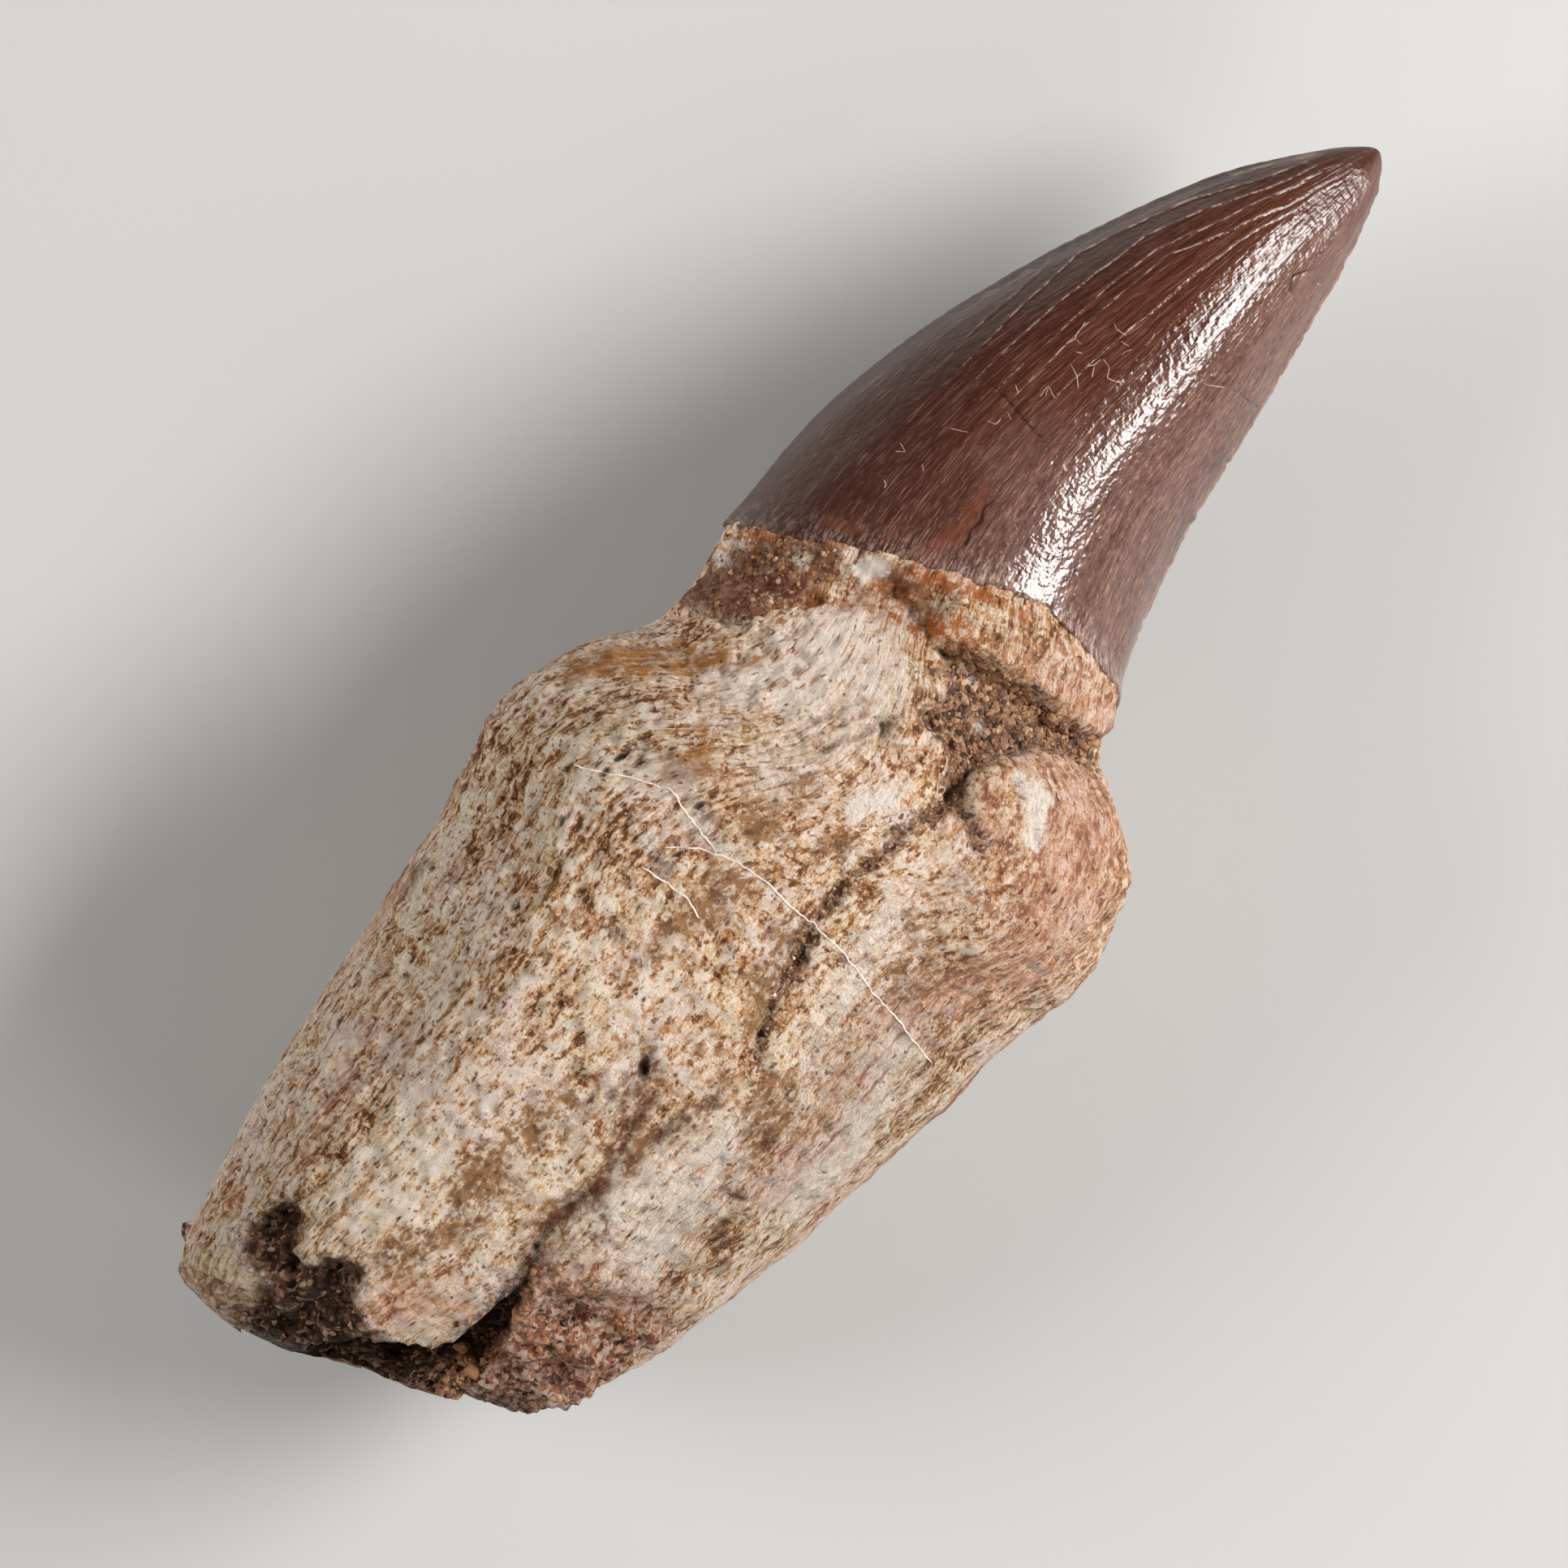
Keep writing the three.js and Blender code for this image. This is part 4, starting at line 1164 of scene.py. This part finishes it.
def bone_matrix(r, rough, tone, crystal):
    """Brown matrix packed into the hollows, and thin sandy smears of it on the bone."""
    grain = r.cells(3.2)
    tint = r.share(grain)
    sand = r.ramp(tint, SAND_TONES)
    kind = r.math("ADD", r.times(r.share(crystal), 0.45), r.times(r.noise(0.9, 5.0, 0.75), 0.9))
    patchy = r.smooth(r.noise(0.7, 5.0, 0.75), 0.36, 0.5, 0.2, 1.0)
    r.paint(r.ramp(kind, BREAK_TONES), r.value("broken"), patchy, 0.9)
    smear = r.stroke("smear", rough, 4.5, 0.7)
    r.paint("smear", smear, r.smooth(tone, 0.66, 0.49, 0.3, 0.95))
    r.paint("brown", smear, r.smooth(tint, 0.8, 0.9), 0.6)
    dirt = r.stroke("dirt", rough, 2.6, 0.5)
    r.paint(r.mix(0.65, sand, "soil"), dirt, 0.92)
    packed = r.stroke("matrix", rough, 3.2, 0.3)
    r.paint(sand, packed, 0.92)
    black = r.stroke("dark", r.noise(1.3, 6.0, 0.9), 7.0, 1.3)
    r.paint("black", black, r.smooth(tint, 1.0, 0.75, 0.1, 0.82))
    return r.times(grain.outputs["Distance"], r.math("MAXIMUM", packed, dirt))


def make_bone():
    r = Recipe("bone", BONE)
    tone, crystal = bone_ground(r)
    rough = bone_regions(r, tone)
    pore = bone_pores(r)
    grains = bone_matrix(r, rough, tone, crystal)
    r.paint("white", r.stroke("pale", rough, 2.2, 0.25), 0.8)
    calcite = r.stroke("calcite", rough, 2.0, 0.4)
    veins = r.smooth(r.noise(0.8, 3.0, 0.6, warp=1.0), 0.45, 0.6)
    glassy = r.mix(veins, "calcite", "calcite_pale")
    r.paint(glassy, calcite, r.smooth(tone, 0.42, 0.56, 0.9, 0.5))
    height = r.math("ADD", r.times(tone, 1.2), r.times(r.noise(4.2, 4.0, 0.7), 0.45))
    height = r.math("ADD", height, r.times(r.facets(crystal), 0.9))
    height = r.math("SUBTRACT", height, r.times(pore, 0.2))
    height = r.math("SUBTRACT", height, r.times(grains, 0.6))
    height = r.times(height, r.smooth(calcite, 0.0, 1.0, 1.0, 0.4))
    gloss = r.smooth(r.share(crystal, 1), 0.55, 0.95, 0.75, 0.3)
    return r.finish(gloss, height, 0.6, 0.35)


def enamel_colour(r, across, grainy):
    """Brown enamel, redder bands near the front, a purple-grey cast low and behind, and painted
    shade at the front and the tip.
    """
    above = r.value("above")
    streak = r.streaks(0.07, 1.0, 4.0)
    scratches = r.streaks(0.55, 7.0, 2.0, 0.5)
    lines = r.streaks(0.12, 3.2, 3.0, 0.6)
    r.base = r.mix(r.smooth(streak, 0.38, 0.62, 0.0, 0.75), "brown", "band_and_shade")
    r.paint("orange", r.smooth(above, 20, 34, 0.0, 0.7))
    low = r.math("ADD", r.smooth(above, 16, 0), r.smooth(across, 0.5, 0.85), clamp=True)
    # Painted light and shade: the purple-grey is darker towards the front and paler towards the
    # back.
    paler = r.math("ADD", r.noise(0.16), r.smooth(across, 0.2, 0.7, -0.16, 0.16))
    r.paint(r.mix(r.smooth(paler, 0.4, 0.6), "deep", "purple"), low, 0.8)
    # Painted shade: darker towards the tip.
    r.paint("band_and_shade", r.smooth(above, 27, 33, 0.0, 0.6))
    # Painted shade: darker red-brown along the front edge, broken by the streaks.
    front = r.times(r.smooth(across, 0.3, 0.05), r.smooth(above, 5, 14))
    r.paint("band_and_shade", front, r.smooth(streak, 0.6, 0.42, 0.3, 0.9))
    r.paint("band_and_shade", r.smooth(grainy, 0.5, 0.36, 0.0, 0.65))
    spotty = r.times(r.smooth(low, 0.0, 1.0, 0.25, 0.75), r.smooth(across, 0.25, 0.6, 0.45, 1.0))
    r.paint("pale", r.smooth(grainy, 0.53, 0.66), spotty)
    r.paint("pale", r.smooth(scratches, 0.6, 0.68), 0.6)
    r.paint("frost", r.smooth(above, 2.2, 0.2), r.smooth(grainy, 0.46, 0.6), 0.35)
    r.paint("pale", r.smooth(lines, 0.56, 0.66, 0.0, 0.12))
    r.paint("band_and_shade", r.smooth(lines, 0.46, 0.36, 0.0, 0.3))
    # Painted shade: darker towards the front edge.
    r.paint("band_and_shade", r.smooth(across, 0.42, 0.1, 0.0, 0.45))


def enamel_marks(r):
    """The pale ridge lines, the rusty patch above the collar, the cracks, the worn spots, and a pale
    back keel that is partly a painted highlight.
    """
    rough = r.noise(1.2, 4.0, 0.65)
    past = r.math("FRACT", r.math("ADD", r.value("phase"), 0.5))
    off = r.times(r.math("ABSOLUTE", r.math("SUBTRACT", past, 0.5)), r.value("spacing"))
    dashes = r.smooth(r.noise(1.5, 4.0, 0.75), 0.46, 0.57, 0.06, 0.75)
    r.paint("ridge", r.smooth(off, 0.06, 0.02), dashes, r.value("ridged"))
    r.paint("rust", r.stroke("rust", r.noise(2.4, 6.0, 0.8), 4.6, 0.5), 0.5)
    r.paint("crack", r.smooth(r.value("cracks"), -0.03, 0.05, 0.0, 0.85))
    r.paint("pale", r.stroke("worn", rough, 0.5, 0.2), 0.8)
    # Pale along the back keel: its own paler rim and, in part, a painted highlight along this lit
    # edge.
    r.paint("pale", r.value("keel"), r.smooth(rough, 0.42, 0.56, 0.1, 0.6))


def make_enamel():
    r = Recipe("enamel", ENAMEL_COLOURS)
    across = r.value("across")
    grainy = r.streaks(1.5, 3.0, 5.0, 0.8)
    enamel_colour(r, across, grainy)
    enamel_marks(r)
    pimples, striae = r.noise(2.9, 1.0, 0.5), r.streaks(0.4, 4.2, 2.0)
    height = r.math("ADD", r.times(pimples, 0.9), r.times(striae, 0.22))
    dull = r.smooth(grainy, 0.3, 0.7, 0.08, 0.18)
    dull = r.math("ADD", dull, r.smooth(across, 0.34, 0.14, 0.0, 0.2))
    return r.finish(dull, height, 0.05, 0.45)


def make_sand():
    """Loose matrix: each grain has its own tint."""
    r = Recipe("matrix", BONE)
    r.base = r.ramp(r.value("tint"), GRAIN_TONES)
    fine = r.noise(5.0, 4.0, 0.7)
    r.paint("soil", r.smooth(fine, 0.5, 0.75, 0.0, 0.5))
    return r.finish(r.smooth(fine, 0.3, 0.7, 0.75, 0.4), fine, 0.1)


def make_thread(name, colours, dull, bright):
    r = Recipe(name, colours)
    fine = r.noise(1.4, 4.0, 0.7)
    r.base = r.mix(r.smooth(fine, 0.42, 0.58), dull, bright)
    return r.finish(0.6, fine, 0.03)


# ---- Pieces ----

def make_root(skin, points, material):
    piece = new_piece("tooth_root", points, skin.faces(), material)
    add_values(piece, {"fibre": skin.fibre, "place": skin.place_now, **root_masks(skin)})
    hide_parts("tooth")


def make_crown(skin, points, material):
    piece = new_piece("tooth_crown", points, skin.faces(), material)
    rust = covered(CROWN_RUST, skin.seen_x, skin.seen_y, skin.on_top)
    values = {"fibre": skin.fibre, "place": skin.bare, "across": skin.across, "above": skin.above,
              "phase": skin.ridge_phase, "spacing": skin.ridge_spacing, "ridged": skin.ridged,
              "rust": rust, "cracks": skin.cracks, "worn": skin.worn, "keel": skin.back_keel}
    add_values(piece, values)


# ---- Loose grains and threads, on the surface as it is seen from the eye ----

NOTCH_FILL = [(12.8, -4.5, 0.35), (9.5, -5.0, 0.5), (7.2, -4.6, 0.9), (4.4, -4.8, 1.2)]
NOTCH_LUMP = [(6.9, -4.2, 0.3), (6.4, -4.9, 0.35)]
UNDER_COLLAR = [(52.5, 0.3, 0.25), (52.9, -1.6, 0.3), (53.1, -3.1, 0.3), (53.2, -5.2, 0.3),
                (53.0, -7.4, 0.3), (53.5, -9.0, 0.25)]
# Where grains lie: the shape, how many, their smallest and largest radius, their darkest and
# palest tint, and how deep they sit, as a share of their radius.
GRAIN_BEDS = [
    (PIT_OUTLINE, 620, (0.06, 0.34), (0.05, 0.86), 0.35),
    (CRACK["path"], 200, (0.07, 0.2), (0.1, 0.95), 0.4),
    (UNDER_COLLAR, 130, (0.16, 0.42), (0.0, 0.8), 0.2),
    (NECK_DIRT, 360, (0.06, 0.26), (0.0, 0.9), 0.5),
    (DARK_BREAK, 380, (0.08, 0.26), (0.0, 0.22), 0.4),
    (PINK_BREAK, 520, (0.10, 0.32), (0.0, 0.9), 0.5),
    (NOTCH_FILL, 150, (0.1, 0.36), (0.1, 0.8), 0.3),
    (NOTCH_LUMP, 9, (0.4, 0.8), (0.5, 0.75), 0.2),
]
# Where they start from the broken end, how much smaller ones prevail, and their lumps.
GRAIN = {"seed": 5, "from": 1.2, "small": 2.5, "lumps": 0.45, "lump_size": 0.8}
THREADS = [
    [(34.5, 5.0), (35.7, 3.5), (36.4, 1.6), (36.6, -0.7), (36.4, -2.2), (36.5, -3.8), (36.3, -6.2),
     (35.7, -8.7), (35.4, -10.9), (34.8, -13.4)],
    [(34.7, 11.5), (36.1, 9.0), (37.1, 6.7), (36.5, 4.6), (36.1, 2.7)],
    [(32.9, 5.3), (33.1, 3.8), (33.2, 2.4), (32.8, 1.1)],
]
THREAD_RADIUS = 0.045
THREAD_STEP = 0.12
THREAD_WANDER = 0.1
# Small branching marks etched into the enamel.
ETCHES = [
    [(69.0, 5.94), (69.6, 5.65), (70.7, 5.9)], [(69.62, 5.65), (69.62, 5.19)],
    [(71.6, 4.68), (71.39, 4.28), (71.46, 3.66)], [(71.05, 3.72), (71.1, 3.17)],
    [(69.07, 5.2), (69.21, 4.84)], [(68.37, 4.96), (68.07, 4.35), (67.63, 3.8)],
    [(68.77, 4.26), (69.16, 3.99), (69.63, 3.89)], [(69.16, 3.99), (68.56, 3.6)],
    [(69.72, 3.84), (69.57, 3.3), (69.06, 3.01), (69.29, 2.25)], [(69.07, 2.74), (69.5, 2.15)],
    [(65.89, 5.16), (66.69, 5.18), (66.44, 4.43)], [(66.69, 5.18), (66.18, 4.81)],
    [(63.22, 6.55), (63.26, 5.96), (63.79, 5.97)], [(64.3, 6.01), (64.01, 5.45)],
    [(59.25, 9.34), (59.09, 8.72), (58.72, 9.23)], [(59.18, 7.71), (58.93, 7.28)],
    [(57.16, 8.74), (57.06, 8.38), (56.79, 8.37)], [(65.67, 6.56), (65.33, 6.15)],
    [(70.49, 3.25), (71.13, 2.97)], [(72.65, 2.62), (72.12, 2.44)], [(61.55, 7.74), (62.06, 6.8)],
    [(72.11, -1.11), (72.75, -2.2)], [(80.15, -2.26), (80.26, -2.71)],
]
ETCH_RADIUS = 0.024


class Surface:
    """Finds where a place seen from the eye lies on a piece, in mm."""

    def __init__(self, points, faces):
        self.tree = BVHTree.FromPolygons(points.tolist(), faces.tolist())
        self.eye = Vector(EYE)

    def hit(self, x, y):
        towards = Vector((x, y, SEEN_LEVEL)) - self.eye
        return self.tree.ray_cast(self.eye, towards)[:2]


def scattered(shape, count, rng):
    """Random places within a stroke or an outline."""
    spots = np.array([corner[:2] for corner in shape])
    low, high = spots.min(0) - 0.5, spots.max(0) + 0.5
    places = []
    while len(places) < count:
        x, y = rng.uniform(low[0], high[0]), rng.uniform(low[1], high[1])
        if mm_inside(shape, np.array([x]), np.array([y]))[0] > 0:
            places.append((x, y))
    return places


def ball():
    """A small sphere's points and triangles."""
    form = bmesh.new()
    bmesh.ops.create_icosphere(form, subdivisions=2, radius=1.0)
    points = np.array([vert.co[:] for vert in form.verts])
    faces = np.array([[vert.index for vert in face.verts] for face in form.faces])
    form.free()
    return points, faces


def joined(meshes):
    """One mesh's points and triangles, from those of many."""
    points, faces = zip(*meshes)
    starts = np.cumsum([0, *(len(some) for some in points)])
    return np.vstack(points), np.vstack([some + start for some, start in zip(faces, starts)])


def one_grain(template, radius, rng):
    """A lumpy, slightly flat grain about the origin, turned at random."""
    bulge = GRAIN["lumps"] * noise(template + rng.uniform(0, 90), GRAIN["lump_size"], 61)
    lumpy = template * (1 + bulge)[:, None]
    lumpy = lumpy * np.array([1.0, rng.uniform(0.7, 1.0), rng.uniform(0.6, 0.9)])
    turn = Euler([rng.uniform(0, 6.28) for _ in range(3)]).to_matrix()
    return radius * lumpy @ np.array(turn)


def shape_grains(surface):
    rng = random.Random(GRAIN["seed"])
    template, faces = ball()
    grains, tints = [], []
    for shape, count, radii, shades, sunk in GRAIN_BEDS:
        for x, y in scattered(shape, count, rng):
            spot, outward = surface.hit(x, y)
            radius = lerp(*radii, rng.random() ** GRAIN["small"])
            tint = lerp(*shades, rng.random())
            if spot is None or spot.x < GRAIN["from"]:
                continue
            middle = np.array(spot) - np.array(outward) * radius * sunk
            grains.append((one_grain(template, radius, rng) + middle, faces))
            tints.append(np.full(len(template), tint))
    return *joined(grains), np.concatenate(tints)


def on_surface(path, surface, lift):
    """Closely spaced points along a path, just above the surface."""
    corners = np.array(path)
    along = np.concatenate([[0], np.cumsum(np.linalg.norm(np.diff(corners, axis=0), axis=1))])
    steps = np.linspace(0, along[-1], max(5, int(along[-1] / THREAD_STEP)))
    x, y = (np.interp(steps, along, corners[:, k]) for k in (0, 1))
    flat = np.stack([x, y, 0 * x], 1)
    x, y = (at + THREAD_WANDER * noise(flat, 0.5, seed) for at, seed in ((x, 71), (y, 72)))
    spots = [surface.hit(*spot) for spot in zip(x, y)]
    return np.array([np.array(spot) + lift * np.array(outward) for spot, outward in spots])


def tube(path, radius, sides=6):
    """A closed tube along a path, its ends drawn to a point."""
    along = np.gradient(path, axis=0)
    along /= np.linalg.norm(along, axis=1, keepdims=True)
    across = np.cross(along, (0, 0, 1.0))
    across /= np.linalg.norm(across, axis=1, keepdims=True)
    other = np.cross(across, along)
    turn = np.arange(sides, 0, -1) / sides * 2 * math.pi
    rings = path[1:-1, None] + radius * (np.cos(turn)[None, :, None] * across[1:-1, None]
                                         + np.sin(turn)[None, :, None] * other[1:-1, None])
    points = np.vstack([path[:1], rings.reshape(-1, 3), path[-1:]])
    return points, ring_faces(len(rings), sides)


def make_grains(surface, material):
    points, faces, tints = shape_grains(surface)
    in_frame = inside_box(to_frame(points))
    piece = new_piece("matrix_grains", in_frame, faces, material, smooth=False)
    add_values(piece, {"place": points, "tint": tints})


def make_threads(name, paths, surface, radius, material):
    points, faces = joined([tube(on_surface(path, surface, 0.3 * radius), radius)
                            for path in paths])
    piece = new_piece(name, inside_box(to_frame(points)), faces, material)
    add_values(piece, {"place": points})


# ---- Stage ----

FLOOR = {"half": 2.0, "colour": (0.50, 0.493, 0.479, 1.0), "roughness": 0.8}
ROOM_LIGHT = 0.14
AIM = Vector((0, 0, 0.012))
# Name, direction, distance and size in metres, power in watts, roll in degrees, mirrored.
LIGHTS = [
    ("key", (0.65, -0.50, 0.55), 0.5, (0.17, 0.34), 3.8, 63, True),
    ("fill", (-0.5, 0.7, 0.5), 0.6, (0.4, 0.4), 2.8, 0, False),
    ("side", (-0.25, -0.75, 0.6), 0.6, (0.3, 0.3), 0.9, 0, False),
]
CAMERA = {"lens": 200, "sensor": 36, "clip_start": 0.01, "roll": -50}


def add_light(name, direction, distance, size, power, roll, mirrored):
    light = bpy.data.lights.new(name, "AREA")
    light.shape = "ELLIPSE"
    light.size, light.size_y = size
    light.energy = power
    lamp = add_object(name, light)
    lamp.location = Vector(direction).normalized() * distance
    lamp.rotation_euler = (AIM - lamp.location).to_track_quat("-Z", "Y").to_euler()
    lamp.rotation_euler.rotate_axis("Z", math.radians(roll))
    lamp.visible_glossy = mirrored


def add_floor():
    r = Recipe("floor", {})
    r.put(r.shader.inputs["Base Color"], FLOOR["colour"])
    r.put(r.shader.inputs["Roughness"], FLOOR["roughness"])
    half = FLOOR["half"]
    corners = [(-half, -half, 0), (half, -half, 0), (half, half, 0), (-half, half, 0)]
    mesh = bpy.data.meshes.new("floor")
    mesh.from_pydata(corners, [], [(0, 1, 2, 3)])
    mesh.materials.append(r.material)
    floor = add_object("floor", mesh)


def add_studio():
    world = bpy.data.worlds.new("studio")
    world.use_nodes = True
    inputs = world.node_tree.nodes["Background"].inputs
    inputs["Color"].default_value = (1.0, 1.0, 1.0, 1.0)
    inputs["Strength"].default_value = ROOM_LIGHT
    bpy.context.scene.world = world
    for light in LIGHTS:
        add_light(*light)
    bpy.context.scene.view_settings.view_transform = "Standard"


def add_camera():
    camera = bpy.data.cameras.new("camera")
    camera.lens = CAMERA["lens"]
    camera.sensor_width = CAMERA["sensor"]
    camera.clip_start = CAMERA["clip_start"]
    eye = add_object("camera", camera)
    eye.location = to_frame(np.array(EYE))
    eye.rotation_euler = (0, 0, math.radians(CAMERA["roll"]))
    bpy.context.scene.camera = eye


def build():
    bone, enamel = make_bone(), make_enamel()
    root_skin, root_points = shape_root()
    crown_skin, crown_points = shape_crown()
    root_points, crown_points = fit_to_box(to_frame(root_points), to_frame(crown_points))
    make_root(root_skin, root_points, bone)
    make_crown(crown_skin, crown_points, enamel)
    root = Surface(from_frame(root_points), root_skin.faces())
    crown = Surface(from_frame(crown_points), crown_skin.faces())
    make_grains(root, make_sand())
    thread = make_thread("thread", BONE, "grey", "white")
    etch = make_thread("etch", ENAMEL_COLOURS, "pale", "ridge")
    make_threads("pale_threads", THREADS, root, THREAD_RADIUS, thread)
    make_threads("enamel_etches", ETCHES, crown, ETCH_RADIUS, etch)


add_camera()
add_floor()
add_studio()
build()
